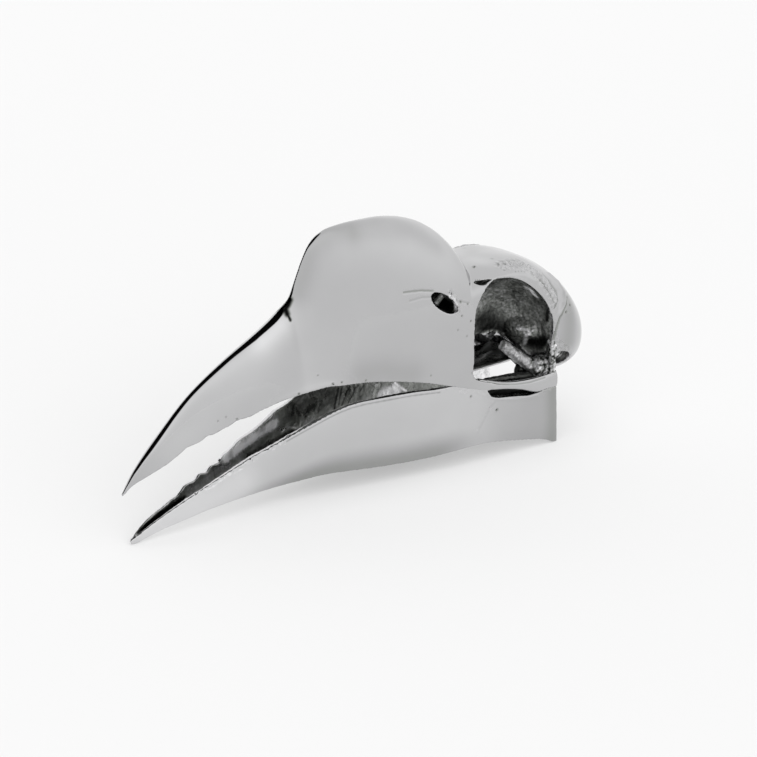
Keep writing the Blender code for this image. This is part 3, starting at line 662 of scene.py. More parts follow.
def cranium_rings():
    """The sections of the cranium, each a rounded square."""
    x = stations(CRANIUM_SPAN, CRANIUM_FINE)[:, None]
    roof = roof_line(x)
    base = base_line(x)
    power = 2 / brow_squareness(x)
    turn = 2 * np.pi * np.arange(RING_POINTS)[None, :] / RING_POINTS
    side = np.copysign(np.abs(np.sin(turn)) ** power, np.sin(turn))
    rise = np.copysign(np.abs(np.cos(turn)) ** power, np.cos(turn))
    return points_at(x, cranium_width(x) * side, (roof + base) / 2 + (roof - base) / 2 * rise)


def closed_curve(points, steps):
    """A smooth closed outline through the points, with so many steps between neighbours."""
    knots = np.array(points)
    before, start, end, after = (np.roll(knots, -k, axis=0)[:, None] for k in (-1, 0, 1, 2))
    t = (np.arange(steps) / steps)[None, :, None]
    bend = 2 * before - 5 * start + 4 * end - after
    twist = 3 * start - before - 3 * end + after
    return (0.5 * (2 * start + (end - before) * t + bend * t**2 + twist * t**3)).reshape(-1, 2)


def orbit_cutter(side):
    """The bowl of one eye socket."""
    rim = closed_curve(ORBIT_RIM, CURVE_STEPS)
    x, z = ORBIT_CENTRE
    share = np.concatenate([[0.0], np.linspace(0, 1, ORBIT_LAYERS)])[:, None]
    size = np.sqrt(1 - (1 - ORBIT_FLOOR**2) * share**2)
    y = ORBIT_MOUTH_Y + (SEPTUM - ORBIT_MOUTH_Y) * share
    y[0] = 2 * ORBIT_MOUTH_Y
    return loft("orbit", points_at(x + (rim[:, 0] - x) * size, side * y, z + (rim[:, 1] - z) * size))


def nostril_cutter(side):
    """An oval, tilted drill for one nostril."""
    bm = bmesh.new()
    bmesh.ops.create_cone(bm, cap_ends=True, segments=48, radius1=1.0, radius2=1.0, depth=1.0)
    bm.transform(Matrix.Rotation(math.pi / 2, 4, "X"))
    low, high = NOSTRIL_SPAN
    bm.transform(Matrix.Diagonal((NOSTRIL_HALF[0] * MM, (high - low) * MM, NOSTRIL_HALF[1] * MM, 1.0)))
    bm.transform(Matrix.Rotation(math.radians(-NOSTRIL_TILT), 4, "Y"))
    x, z = NOSTRIL_CENTRE
    bm.transform(Matrix.Translation(at(x, side * (low + high) / 2, z)))
    return finish_bmesh(bm, "nostril")


def nostril_struts():
    """The bars that the photograph shows inside the nostrils."""
    top, foot, radius = NOSTRIL_STRUT
    return [taper("strut", (top[0], y, top[1]), (foot[0], y, foot[1]), radius, radius)
            for y in (-NOSTRIL_STRUT_Y, NOSTRIL_STRUT_Y)]


def notch_cutter(side):
    """The wedge-shaped gap between the brow and the bone in front of the eye."""
    rings = []
    for depth in LACRIMAL_DEPTH:
        x, z = np.array([crossing(px, py, -depth) for px, py in LACRIMAL_NOTCH_SEEN]).T
        rings.append(points_at(x, side * depth, z))
    return loft("notch", np.array(rings))


def rostrum():
    """The thin upright plate below the wall between the eyes."""
    x = np.linspace(ROSTRUM_FLOOR[0][0], ROSTRUM_FLOOR[-1][0], SHORT_STATIONS)[:, None]
    floor = profile(ROSTRUM_FLOOR)(x)
    top = 0 * x + ROSTRUM_TOP
    half = ROSTRUM_HALF
    y = np.array([[-half, -half, 0.0, half, half]])
    z = np.hstack([top, floor + half, floor, floor + half, top])
    return loft("rostrum", points_at(x, y, z))


def ears():
    """The openings of both ears."""
    (x, y, z), radii = EAR
    return [ellipsoid("ear", (x, side * y, z), radii) for side in (-1, 1)]


def tree_of(obj):
    polygons = [tuple(polygon.vertices) for polygon in obj.data.polygons]
    return BVHTree.FromPolygons([vertex.co for vertex in obj.data.vertices], polygons)


def nearest(tree, points):
    """The nearest place on a surface to each point, and how far below that surface the point lies."""
    found = [tree.find_nearest(Vector(point)) for point in points]
    place, normal = (np.array([entry[k] for entry in found]) for k in (0, 1))
    return place, np.einsum("ij,ij->i", place - points, normal)


def ramp(value, low, high):
    """0 below low, 1 above high, and smooth between."""
    t = np.clip((value - low) / (high - low), 0, 1)
    return t * t * (3 - 2 * t)


def skull_xyz(points):
    x, y, z = (points / MM).T
    return x + MIDDLE_X, y, z


def sight_line(px, py):
    """The camera's place and the direction in which it sees a pixel of the photograph."""
    right, up, back = view_axes()
    size = SENSOR / VIEW_LENS / PHOTO_SIZE
    along = right * ((px - PHOTO_SIZE / 2) * size) + up * ((PHOTO_SIZE / 2 - py) * size) - back
    return at(*VIEW_TARGET) + back * VIEW_DISTANCE * MM, along.normalized()


def crossing(px, py, y):
    """Where the sight line of a pixel crosses the upright plane at y along the skull, as x and z."""
    start, along = sight_line(px, py)
    point = start + along * ((y * MM - start.y) / along.y)
    return point.x / MM + MIDDLE_X, point.z / MM


def seen_edge(pixels, width, side):
    """The edge traced in the photograph as (x, z), where it runs along the bill's side at a half width."""
    found = []
    for px, py in pixels:
        y = 0.0
        for _ in range(SIGHT_ROUNDS):
            x, z = crossing(px, py, y)
            y = side * float(width(x))
        found.append((x, z))
    return found


def move_edge(obj, edge, width, pixels, seen_side, side, reach):
    """Bends the bill's edge on one side to the line that the photograph shows on the seen side."""
    seen = sorted(seen_edge(pixels, width, seen_side))
    low, high = seen[0][0], seen[-1][0]
    points = positions(obj)
    x, y, z = skull_xyz(points)
    rise = profile(seen, EDGE_BLUR)(x) - edge(x)
    fade = ramp(x, low, low + EDGE_START) * (1 - ramp(x, high - EDGE_FADE[0], high + EDGE_FADE[1]))
    near = np.exp(-(((z - edge(x)) / reach) ** 2)) * ramp(side * y, 0.0, EDGE_SIDE * width(x))
    points[:, 2] += rise * fade * near * MM
    set_positions(obj, points)


def traced(obj, pixels):
    """The places on obj along a line drawn in the photograph's pixels."""
    found = []
    for (ax, ay), (bx, by) in zip(pixels, pixels[1:] or pixels):
        count = max(1, int(math.hypot(bx - ax, by - ay)))
        for k in range(count + 1):
            share = k / count
            hit, place, _, _ = obj.ray_cast(*sight_line(ax + (bx - ax) * share, ay + (by - ay) * share))
            if hit:
                found.append(place)
    return np.array(found)


def distance_to(points, line, reach):
    """How far each point is from a line on the near side or from its mirror image, up to a reach."""
    found = np.full(len(points), np.inf)
    if line[:, 1].mean() > 0:
        line = line * (1, -1, 1)
    folded = np.stack([points[:, 0], -np.abs(points[:, 1]), points[:, 2]], axis=1)
    low = line.min(axis=0) - reach * MM
    high = line.max(axis=0) + reach * MM
    close = np.flatnonzero(np.all((folded > low) & (folded < high), axis=1))
    if len(close):
        gap = np.linalg.norm(folded[close][:, None] - line[None], axis=2)
        found[close] = gap.min(axis=1) / MM
    return found


def rough(points, scale, octaves):
    """Cloudy noise between about -1 and 1 at each point, with a feature size in millimetres."""
    size = 1 / (scale * MM)
    return np.array([noise.fractal(Vector(point) * size, *NOISE, octaves) for point in points])


def rough_where(chosen, points, scale, octaves):
    """The same noise at the chosen points, and nothing at the others."""
    found = np.zeros(len(points))
    index = np.flatnonzero(chosen)
    found[index] = rough(points[index], scale, octaves)
    return found


def strokes_near(obj, points, strokes, reach):
    """For each stroke, how many of its radii every point is from it, and the stroke's other values."""
    for pixels, radius, *values in strokes:
        line = traced(obj, pixels)
        if len(line):
            yield distance_to(points, line, reach * radius) / radius, *values


def marked(obj, points, lines, pits):
    """How far lines and pits lift or sink each point, and how much painted shade darkens the plating in them.
    """
    move = np.zeros(len(points))
    painted_shade = np.zeros(len(points))
    # the darkness of lines and pits is painted shade in the grooves and hollows
    for d, height, dark in strokes_near(obj, points, lines, 3):
        move += height * np.exp(-(d**2))
        painted_shade = np.maximum(painted_shade, dark * np.exp(-(d**4)))
    rim, rim_place, rim_width = PIT_RIM
    holes = [([pixel], *size) for pixels, *size in pits for pixel in pixels]
    for d, dent in strokes_near(obj, points, holes, 3):
        move += dent * (rim * np.exp(-(((d - rim_place) / rim_width) ** 2)) - np.exp(-(d**2)))
        painted_shade = np.maximum(painted_shade, min(PIT_DARKEST, PIT_DARKNESS * dent) * np.exp(-(d**2)))
    return move, painted_shade


def toned(obj, points, tone, matt, strokes, inside, grain):
    """The tone and mattness of the hollows, changed along strokes drawn in the photograph's pixels: painted
    shade and highlights.
    """
    for d, value, *dull in strokes_near(obj, points, strokes, 2):
        share = np.exp(-(d**4)) * inside
        tone = tone * (1 - share) + share * value * (1 + HOLLOW_CLOUDS * grain)
        if dull:
            matt = matt * (1 - share) + share * dull[0]
    return tone, matt


def paint_shading(obj, points, tone, shades, outside):
    """The tone of the outer plating, a little changed round strokes drawn in the photograph's pixels: painted
    shading.
    """
    for d, change in strokes_near(obj, points, shades, 3):
        tone = tone * (1 + change * np.exp(-(d**2)) * outside)
    return tone


def scarred(obj, points, scars, inside, grain):
    """How scarred each point is along lines drawn in the photograph, and how far that moves it."""
    scar = np.zeros(len(points))
    for d, height in strokes_near(obj, points, scars, 2):
        scar = np.maximum(scar, height * np.exp(-(d**4)))
    worn = (scar > SCAR_LEAST) & (inside < 0.5)
    return scar, scar * rough_where(worn, points, *grain)


def set_plating(obj, tone, matt, darkest=DARKEST):
    """Keeps each point's tone and mattness on the mesh, where the plating's material reads them."""
    for name, values in (("tone", np.clip(tone, darkest, BRIGHTEST)), ("matt", matt)):
        layer = obj.data.attributes.new(name, "FLOAT", "POINT")
        layer.data.foreach_set("value", np.asarray(values, np.float32))


def build_head():
    """The upper bill, casque and cranium, which are one bone, with their openings."""
    head = loft("skull_bill_casque_and_cranium", bill_rings())
    bill = tree_of(head)
    combine(head, [loft("cranium_mass", cranium_rings())], "UNION")
    hull = tree_of(head)
    cutters = [cut(side) for cut in (orbit_cutter, nostril_cutter, notch_cutter) for side in (-1, 1)]
    combine(head, cutters, "DIFFERENCE")
    combine(head, [ellipsoid("brain", *BRAIN), rostrum()], "UNION")
    combine(head, ears() + [ellipsoid("foramen", *FORAMEN)], "DIFFERENCE")
    combine(head, [ellipsoid("condyle", *CONDYLE)] + nostril_struts(), "UNION")
    remesh(head, VOXEL, 0)
    keep_largest(head)
    smooth_bill(head, bill)
    for side in (-1, 1):
        move_edge(head, upper_edge, upper_width, UPPER_EDGE_SEEN, -1, side, UPPER_EDGE_REACH)
    finish_head(head, hull)
    return head


def smooth_bill(head, bill):
    """Smooths the head, but puts the bill's and casque's own surface back on its exact curves."""
    points = positions(head)
    x, y, z = skull_xyz(points)
    place, gap = nearest(bill, points)
    across = math.radians(NOSTRIL_TILT)
    u = (x - NOSTRIL_CENTRE[0]) * math.cos(across) + (z - NOSTRIL_CENTRE[1]) * math.sin(across)
    v = (z - NOSTRIL_CENTRE[1]) * math.cos(across) - (x - NOSTRIL_CENTRE[0]) * math.sin(across)
    opening = np.hypot(u / (NOSTRIL_HALF[0] + NOSTRIL_RIM), v / (NOSTRIL_HALF[1] + NOSTRIL_RIM))
    weight = (1 - ramp(np.abs(gap) / MM, *BILL_GAP)) * (1 - ramp(x, *BILL_REAR))
    weight = weight * ramp(opening, *NOSTRIL_CLEAR)
    relax(head, SMOOTH_ROUNDS, 1 - weight)
    points = positions(head)
    place, gap = nearest(bill, points)
    set_positions(head, points + (place - points) * weight[:, None])


def in_palate(x, y, z):
    """Which points lie in the vault of the palate."""
    aside, above = PALATE_MARGIN
    within = np.abs(y) < upper_width(x) - edge_thickness(x) - aside
    return within & (x < PALATE_END_X) & (z < upper_edge(x) + vault_over(x) + above)


def finish_head(head, hull):
    """Small relief on the head, and how bright and how matt its plating is at each point."""
    points = positions(head)
    normals = vertex_normals(head)
    x, y, z = skull_xyz(points)
    _, depth = nearest(hull, points)
    inside = np.maximum(ramp(depth / MM, *HOLLOW_FROM), in_palate(x, y, z))
    grain = rough_where(inside > HOLLOW_LEAST, points, *HOLLOW_GRAIN)
    specks = rough_where(inside > HOLLOW_LEAST, points, *SPECK_GRAIN)
    socket = inside * (x > CRANIUM_SPAN[0])
    bulge = socket * np.exp(-(((x - BULGE[0]) / BULGE_SIZE) ** 2) - ((z - BULGE[1]) / BULGE_SIZE) ** 2)
    move = inside * grain * HOLLOW_RELIEF + socket * specks * SOCKET_RELIEF + bulge * specks * BULGE_RELIEF
    grain = grain + HOLLOW_SPECKS / HOLLOW_CLOUDS * specks * (socket + bulge)
    marks, painted_shade = marked(head, points, HEAD_LINES, HEAD_PITS)
    scar, worn = scarred(head, points, HEAD_SCARS, inside, HEAD_SCAR_GRAIN)
    set_positions(head, points + normals * ((move + marks + worn) * MM)[:, None])
    # darker hollows: partly duller plating, partly painted shade
    tone = PLATE_TONE * (1 - inside) + inside * HOLLOW_TONE * (1 + HOLLOW_CLOUDS * grain)
    matt = PLATE_MATT * (1 - inside) + inside * HOLLOW_MATT
    tone, matt = toned(head, points, tone, matt, HOLLOW_PAINTED_SHADE_AND_HIGHLIGHTS, inside, grain)
    tone, matt = toned(head, points, tone, matt, PLATE_PAINTED_HIGHLIGHTS, 1.0, 0.0)
    tone = paint_shading(head, points, tone, PLATE_PAINTED_SHADING, 1 - inside)
    matt = matt + SCAR_MATT * ramp(scar, *SCAR_MATT_FROM) * (inside < 0.5)
    set_plating(head, tone * (1 - painted_shade), matt)


def jaw_side(x, edge, keel, share):
    """The outer side of the lower jaw's left half, at a share of the way up it, as (y, z)."""
    base = lower_width(x)
    lean = jaw_lean(x)
    bulge = jaw_bulge(x) * np.sin(np.pi * share)
    y = base * (lean + (1 - lean) * np.sin(np.pi / 2 * share))
    return -(y + bulge), keel + (edge - keel) * share ** jaw_rise(x)


def lower_bill_rings():
    """The sections of the bill's lower half, with the trough along its top."""
    x = stations((JAW_START_X, FORK_X + FORK_OVERLAP[0]))[:, None]
    edge = lower_edge(x)
    keel = keel_line(x)
    y, z = jaw_side(x, edge, keel, np.linspace(0, 1, SIDE_POINTS)[None, :])
    inner = lower_width(x) - edge_thickness(x)
    depth = (edge - keel) * trough_depth(x)
    trough = points_at(x, -inner * np.cos(arch), edge - depth * np.sin(arch))
    return np.hstack([points_at(x, y, z), trough, points_at(x, -y[:, ::-1], z[:, ::-1])])


def jaw_top(x):
    """The upper edge of the lower jaw, with the slot's floor behind the bill."""
    return np.where(x <= SLOT_FRONT_X, lower_edge(x), slot_floor(x))


def branch_rings(side):
    """The sections of one of the two branches behind the bill's lower half."""
    x = stations((FORK_X - FORK_OVERLAP[1], JAW_END_X), BRANCH_FINE)[:, None]
    edge = jaw_top(x)
    keel = keel_line(x)
    share = np.linspace(0, 1, SIDE_POINTS)[None, :]
    y, z = jaw_side(x, edge, keel, share)
    lean = jaw_lean(x)
    depth = branch_thickness(x) * (0.5 + 0.5 * np.sin(np.pi * share))
    inner = depth - lower_width(x) * (lean + (1 - lean) * np.sin(np.pi / 2 * share))
    inner_z = keel + (edge - keel) * share
    return np.hstack([points_at(x, -side * y, z), points_at(x, -side * inner, inner_z)[:, ::-1]])


def build_jaw():
    """The lower jaw: the bill's lower half and the two branches behind it, as one bone."""
    jaw = loft("lower_jaw", lower_bill_rings())
    x, radius = FORK_NOTCH
    notch = taper("notch", (x, 0, -radius), (x, 0, FORK_NOTCH_TOP), radius, radius, 64)
    combine(jaw, [notch], "DIFFERENCE")
    combine(jaw, [loft("branch", branch_rings(side)) for side in (-1, 1)], "UNION")
    combine(jaw, [loft("slot_wall", slot_wall_rings(side)) for side in (-1, 1)], "UNION")
    remesh(jaw, VOXEL)
    keep_largest(jaw)
    smooth_jaw(jaw)
    move_edge(jaw, lower_edge, lower_width, LOWER_NEAR_EDGE_SEEN, -1, -1, LOWER_EDGE_REACH)
    move_edge(jaw, lower_edge, lower_width, LOWER_FAR_EDGE_SEEN, 1, 1, LOWER_EDGE_REACH)
    finish_jaw(jaw)
    return jaw


def slot_wall_rings(side):
    """The thin wall behind the slot between the jaw's branch and the cheek bar."""
    x = np.linspace(*SLOT_WALL_SPAN, SHORT_STATIONS)[:, None]
    below, above = SLOT_WALL_PAST
    low = slot_floor(np.maximum(x, SLOT_FRONT_X)) - below
    high = jugal_floor(x) + above
    outer = lower_width(x) - SLOT_DEPTH
    inner = outer - SLOT_WALL_THICKNESS
    y = np.hstack([outer, inner, inner, outer])
    z = np.hstack([low, low, high, high])
    return points_at(x, side * y, z)


def outside_jaw(x, y, z):
    """How far points lie outside the jaw's outer sides, and their share of the way up them."""
    edge = jaw_top(x)
    keel = keel_line(x)
    share = np.clip((z - keel) / (edge - keel), 0, 1) ** (1 / jaw_rise(x))
    side_y, _ = jaw_side(x, edge, keel, share)
    return np.abs(y) - np.abs(side_y), share


def smooth_jaw(jaw):
    """Puts the jaw's outer sides back on their exact curve."""
    points = positions(jaw)
    x, y, z = skull_xyz(points)
    gap, _ = outside_jaw(x, y, z)
    weight = (np.abs(gap) < JAW_GAP) * ramp(z - keel_line(x), *ABOVE_KEEL) * ramp(jaw_top(x) - z, *BELOW_EDGE)
    weight = weight * (1 - ramp(x, *JAW_REAR))
    points[:, 1] -= np.sign(y) * gap * weight * MM
    set_positions(jaw, points)


def in_slot(x, y, z):
    """Which points of the jaw lie in the slot below the cheek bar."""
    width = lower_width(x)
    behind = (x > SLOT_START_X) & (z > slot_floor(x) - SLOT_MARGIN)
    return behind & (np.abs(y) < width - SLOT_LIP) & (np.abs(y) > width - SLOT_DEPTH - SLOT_MARGIN)


def finish_jaw(jaw):
    """Small relief on the jaw, and how bright and how matt its plating is at each point."""
    points = positions(jaw)
    normals = vertex_normals(jaw)
    x, y, z = skull_xyz(points)
    gap, share = outside_jaw(x, y, z)
    trough = (x < FORK_X + TROUGH_PAST_FORK) & (-gap > TROUGH_INWARD * edge_thickness(x))
    trough = trough & (normals[:, 2] > TROUGH_FACING)
    inner = ramp(-np.sign(y) * normals[:, 1], *INNER_FACING) * (-gap > INNER_INWARD)
    slot = in_slot(x, y, z)
    inside = np.maximum(np.maximum(trough, inner), slot)
    grain = rough_where(inside > HOLLOW_LEAST, points, *HOLLOW_GRAIN)
    marks, painted_shade = marked(jaw, points, JAW_LINES, JAW_PITS)
    _, worn = scarred(jaw, points, JAW_SCARS, inside, JAW_SCAR_GRAIN)
    move = inside * grain * HOLLOW_RELIEF + marks + worn
    set_positions(jaw, points + normals * (move * MM)[:, None])
    behind = GAPE_TONE + (BRANCH_PAINTED_LIGHT - GAPE_TONE) * ramp(x, *BRANCH_PAINTED_LIGHT_FROM)
    hollow_tone = np.where(trough, TROUGH_TONE, behind)
    tone = PLATE_TONE * (1 - inside) + inside * hollow_tone * (1 + HOLLOW_CLOUDS * grain)
    matt = PLATE_MATT * (1 - inside) + inside * TROUGH_MATT
    tone, matt = toned(jaw, points, tone, matt, JAW_PAINTED_LIGHT_AND_SHADE, inside, grain)
    tone = paint_shading(jaw, points, tone, JAW_PAINTED_SHADING, 1 - inside)
    # painted light and shade along the jaw's outer side
    tone = tone * (1 + (jaw_painted_light(x) - 1) * (1 - inside))
    tone = np.where(slot, SLOT_PAINTED_SHADE, tone)
    # painted shade along the keel
    under = 1 - ramp(share, *KEEL_SHADE_UP_TO)
    under = under * ramp(x, *KEEL_SHADE_STARTS) * (1 - ramp(x, *KEEL_SHADE_ENDS)) * (1 - inside)
    set_plating(jaw, tone * (1 - KEEL_SHADE * under) * (1 - painted_shade), matt)


def jugal_rings():
    """The sections of the left cheek bar."""
    x = np.linspace(JUGAL_START_X, JAW_END_X, JUGAL_STATIONS)[:, None]
    outline = closed_curve(JUGAL_LAYERS, CURVE_STEPS)
    low = jugal_floor(x)
    high = jugal_top(x)
    inset = outline[None, :, 0] + JUGAL_SUNK * (1 - ramp(x, *JUGAL_OUT))
    return points_at(x, inset - lower_width(x), low + (high - low) * outline[None, :, 1])


def build_jugal():
    jugal = loft("jugal_left_bone", jugal_rings())
    points = positions(jugal)
    move, painted_shade = marked(jugal, points, JUGAL_LINES, [])
    set_positions(jugal, points + vertex_normals(jugal) * (move * MM)[:, None])
    set_plating(jugal, PLATE_TONE * (1 - painted_shade), np.full(len(points), PLATE_MATT))
    return jugal


def bar_rings(route, half):
    """A bar of oval section along a route."""
    knots = sorted(route)
    x = np.linspace(knots[0][0], knots[-1][0], SHORT_STATIONS)[:, None]
    y = profile([(knot[0], knot[1]) for knot in knots])(x)
    z = profile([(knot[0], knot[2]) for knot in knots])(x)
    turn = 2 * np.pi * np.arange(BAR_SIDES)[None, :] / BAR_SIDES
    return points_at(x + 0 * turn, y + half[0] * np.cos(turn), z + half[1] * np.sin(turn))


def lumpy(obj, height):
    """Raises and sinks a small bone's surface, and gives the noise that does it."""
    points = positions(obj)
    grain = rough(points, *LUMP_GRAIN)
    set_positions(obj, points + vertex_normals(obj) * (height * grain * MM)[:, None])
    return grain


def build_quadrate():
    quadrate = ellipsoid("quadrate_left_bone", *QUADRATE_BODY)
    others = [ellipsoid("quadrate_head", *QUADRATE_HEAD),
              taper("quadrate_neck", QUADRATE_BODY[0], QUADRATE_HEAD[0], *QUADRATE_NECK),
              taper("quadrate_spike", *QUADRATE_SPIKE), taper("quadrate_flange", *QUADRATE_FLANGE)]
    combine(quadrate, others, "UNION")
    remesh(quadrate, *QUADRATE_MESH)
    lumpy(quadrate, QUADRATE_LUMPS)
    points = positions(quadrate)
    rod = 1 - ramp(skull_xyz(points)[0], *QUADRATE_ROD)
    specks = rough(points, *QUADRATE_GRAIN)
    tone = 0.0
    for share, (middle, clouded) in ((rod, QUADRATE_ROD_LOOK), (1 - rod, QUADRATE_BODY_LOOK)):
        tone = tone + share * middle * (1 + clouded * specks)
    set_plating(quadrate, tone, np.full(len(points), QUADRATE_MATT), QUADRATE_DARKEST)
    return quadrate


def finish_dark_bone(obj):
    """The lumps, and the dark, clouded tone of the bones behind the palate: painted shade, as they lie deep
    inside.
    """
    grain = lumpy(obj, DARK_BONE_LUMPS)
    tone, clouded = DARK_BONE_PAINTED_SHADE
    set_plating(obj, tone * (1 + clouded * grain), np.full(len(grain), DARK_BONE_MATT))


def build_pterygoid():
    pterygoid = loft("pterygoid_left_bone", bar_rings(PTERYGOID, PTERYGOID_HALF))
    combine(pterygoid, [ellipsoid("knob", *PTERYGOID_KNOB), taper("blade", *PTERYGOID_BLADE)], "UNION")
    remesh(pterygoid, *PTERYGOID_MESH)
    finish_dark_bone(pterygoid)
    return pterygoid


def build_palatine():
    palatine = loft("palatine_left_bone", bar_rings(PALATINE, PALATINE_HALF))
    finish_dark_bone(palatine)
    return palatine


def mirrored(obj, name):
    """The same bone on the bird's right side."""
    made = new_object(name, obj.data.copy())
    bm = bmesh.new()
    bm.from_mesh(made.data)
    bm.transform(Matrix.Diagonal((1.0, -1.0, 1.0, 1.0)))
    bmesh.ops.reverse_faces(bm, faces=bm.faces)
    bm.to_mesh(made.data)
    bm.free()
    return made


def new_material(name):
    """A material with its nodes and its shader."""
    made = bpy.data.materials.new(name)
    made.use_nodes = True
    return made, made.node_tree, made.node_tree.nodes["Principled BSDF"]


def maths(tree, operation, a, b):
    """The result of an operation on two values, each a socket or a number."""
    node = tree.nodes.new("ShaderNodeMath")
    node.operation = operation
    for socket, value in zip(node.inputs, (a, b)):
        if isinstance(value, float):
            socket.default_value = value
        else:
            tree.links.new(value, socket)
    return node.outputs["Value"]


def product(tree, first, *others):
    """The product of several values."""
    for other in others:
        first = maths(tree, "MULTIPLY", first, other)
    return first


def spread(tree, value, span, low, high, interpolation="LINEAR"):
    """A value mapped from a span to the range from low to high."""
    node = tree.nodes.new("ShaderNodeMapRange")
    node.interpolation_type = interpolation
    for socket, number in zip(("From Min", "From Max", "To Min", "To Max"), (*span, low, high)):
        node.inputs[socket].default_value = number
    tree.links.new(value, node.inputs["Value"])
    return node.outputs["Result"]


def chrome(name, pimples):
    """Chrome plating. Tone and mattness come from the mesh's points, with clouds and pimples over them."""
    made, tree, shader = new_material(name)
    shader.inputs["Metallic"].default_value = 1.0
    place = tree.nodes.new("ShaderNodeTexCoord").outputs["Object"]

    def layer(wanted):
        node = tree.nodes.new("ShaderNodeAttribute")
        node.attribute_name = wanted
        return node.outputs["Fac"]

    def clouds(scale, detail, low, high):
        node = tree.nodes.new("ShaderNodeTexNoise")
        node.inputs["Scale"].default_value = scale
        node.inputs["Detail"].default_value = detail
        tree.links.new(place, node.inputs["Vector"])
        return spread(tree, node.outputs["Fac"], CLOUD_SPAN, low, high)

    dull = spread(tree, layer("matt"), SPECKLED_FROM, 0.0, SPECKLE)
    plain = spread(tree, layer("matt"), PLAIN_FROM, 1.0, 0.0)
    specks = product(tree, dull, plain, clouds(*SPECK_CLOUDS))
    lit = product(tree, layer("tone"), clouds(*TONE_CLOUDS))
    tint = tree.nodes.new("ShaderNodeValToRGB")
    stops = tint.color_ramp.elements
    for share, _ in TINT_STOPS[1:-1]:
        stops.new(share)
    for stop, (share, colour) in zip(stops, TINT_STOPS):
        stop.color = (*(channel * share for channel in colour), 1.0)
    tree.links.new(maths(tree, "ADD", lit, product(tree, lit, specks)), tint.inputs["Fac"])
    tree.links.new(tint.outputs["Color"], shader.inputs["Base Color"])
    tree.links.new(product(tree, layer("matt"), clouds(*MATT_CLOUDS)), shader.inputs["Roughness"])
    relief = tree.nodes.new("ShaderNodeBump")
    relief.inputs["Strength"].default_value = pimples
    relief.inputs["Distance"].default_value = PIMPLE_HEIGHT * MM
    tree.links.new(clouds(*PIMPLES), relief.inputs["Height"])
    tree.links.new(relief.outputs["Normal"], shader.inputs["Normal"])
    return made


def light_table():
    """Pale, matt acrylic that glows softly, which lightens the shadows on it; a little less near the skull, a
    painted shade.
    """
    made, tree, shader = new_material("light_table")
    shader.inputs["Base Color"].default_value = (FLOOR_WHITE, FLOOR_WHITE, FLOOR_WHITE, 1.0)
    shader.inputs["Specular IOR Level"].default_value = 0.0
    shader.inputs["Emission Color"].default_value = (1.0, 1.0, 1.0, 1.0)
    far = tree.nodes.new("ShaderNodeVectorMath")
    far.operation = "LENGTH"
    tree.links.new(tree.nodes.new("ShaderNodeTexCoord").outputs["Object"], far.inputs[0])
    glow = spread(tree, far.outputs["Value"], FLOOR_FAR, *FLOOR_GLOW, "SMOOTHSTEP")
    tree.links.new(glow, shader.inputs["Emission Strength"])
    return made


def add_piece(obj, slot, nodes, finish):
    obj.data.materials.clear()
    obj.data.materials.append(finish)
    for polygon in obj.data.polygons:
        polygon.use_smooth = True
    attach(obj, "root")
    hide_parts(*nodes)


def view_axes():
    a = math.radians(VIEW_AZIMUTH)
    e = math.radians(VIEW_ELEVATION)
    back = Vector((math.sin(a) * math.cos(e), -math.cos(a) * math.cos(e), math.sin(e)))
    right = Vector((math.cos(a), math.sin(a), 0.0))
    return right, back.cross(right), back


def add_camera():
    data = bpy.data.cameras.new("camera")
    data.lens = VIEW_LENS
    data.sensor_width = SENSOR
    data.clip_start = 0.01
    camera = new_object("camera", data)
    right, up, back = view_axes()
    place = Matrix((right, up, back)).transposed().to_4x4()
    place.translation = at(*VIEW_TARGET) + back * VIEW_DISTANCE * MM
    camera.matrix_world = place
    bpy.context.scene.camera = camera


def add_floor():
    bm = bmesh.new()
    bmesh.ops.create_grid(bm, x_segments=1, y_segments=1, size=FLOOR_HALF)
    mesh = bpy.data.meshes.new("floor")
    bm.to_mesh(mesh)
    bm.free()
    floor = new_object("floor", mesh)
    floor.data.materials.append(light_table())


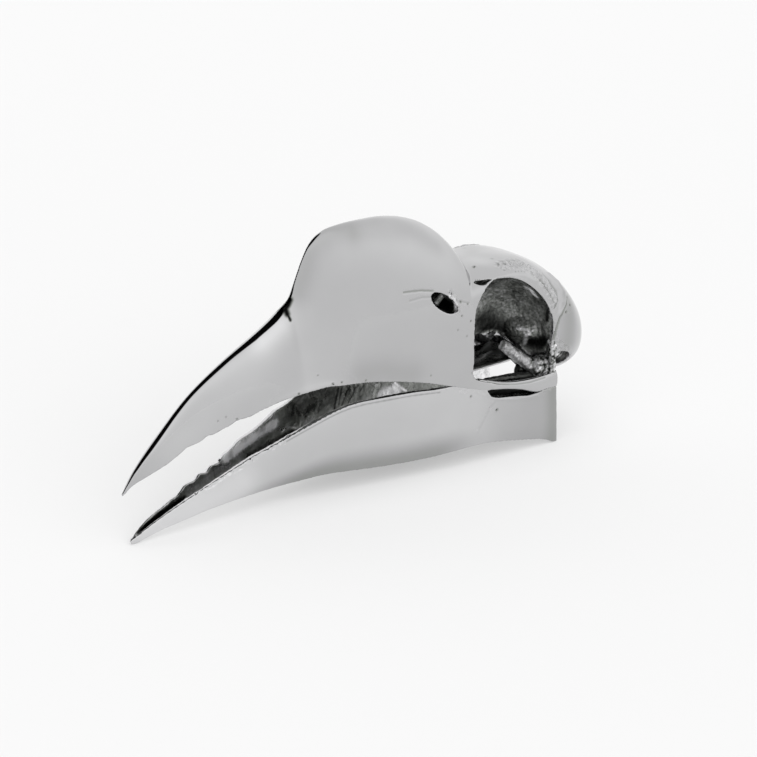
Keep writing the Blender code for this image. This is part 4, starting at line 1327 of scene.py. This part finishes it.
def add_world():
    """A white studio, lighter above the horizon, with a dark patch over the bill's tip."""
    world = bpy.data.worlds.new("studio")
    bpy.context.scene.world = world
    world.use_nodes = True
    tree = world.node_tree
    place = tree.nodes.new("ShaderNodeTexCoord").outputs["Generated"]

    def facing(towards, span, low, high):
        dot = tree.nodes.new("ShaderNodeVectorMath")
        dot.operation = "DOT_PRODUCT"
        dot.inputs[1].default_value = towards
        tree.links.new(place, dot.inputs[0])
        return spread(tree, dot.outputs["Value"], span, low, high, "SMOOTHSTEP")

    up = (0.0, 0.0, 1.0)
    patch = product(tree, facing(DARK_TOWARDS, DARK_FROM, 0.0, 1 - STUDIO_DARK),
                    facing(up, DARK_ABOVE, 0.0, 1.0), facing((-1.0, 0.0, 0.0), DARK_AHEAD, 0.0, 1.0))
    light = product(tree, facing(up, (0.0, LIGHTER_UP_TO), HORIZON_LIGHT, LOW_SKY_LIGHT),
                    facing(up, ZENITH_FROM, 1.0, ZENITH_LIGHT), maths(tree, "SUBTRACT", 1.0, patch))
    sky = tree.nodes["Background"]
    sky.inputs["Color"].default_value = (1.0, 1.0, 1.0, 1.0)
    tree.links.new(light, sky.inputs["Strength"])


def add_lamp():
    """A very broad, soft lamp overhead, which the plating doesn't mirror."""
    data = bpy.data.lights.new("overhead", "SUN")
    data.energy = LAMP_STRENGTH
    data.angle = math.radians(LAMP_SPREAD)
    lamp = new_object("overhead", data)
    lamp.rotation_euler = [math.radians(angle) for angle in LAMP_TILT] + [0.0]
    lamp.visible_glossy = False


def main():
    bpy.context.scene.view_settings.view_transform = "Standard"
    add_camera()
    add_floor()
    add_world()
    add_lamp()
    plate = chrome("chrome_plate", PLATE_PIMPLES)
    inner = chrome("chrome_inner", INNER_PIMPLES)
    add_piece(build_head(), "chrome_plate", ["upper_bill", "casque", "cranium"], plate)
    add_piece(build_jaw(), "chrome_plate", ["lower_bill", "jaw_left", "jaw_right"], plate)
    small = ((build_jugal(), "chrome_plate", plate), (build_quadrate(), "chrome_inner", inner),
             (build_pterygoid(), "chrome_inner", inner), (build_palatine(), "chrome_inner", inner))
    for left, slot, finish in small:
        node = left.name.replace("_bone", "")
        right = mirrored(left, left.name.replace("_left", "_right"))
        add_piece(left, slot, [node], finish)
        add_piece(right, slot, [node.replace("_left", "_right")], finish)


main()
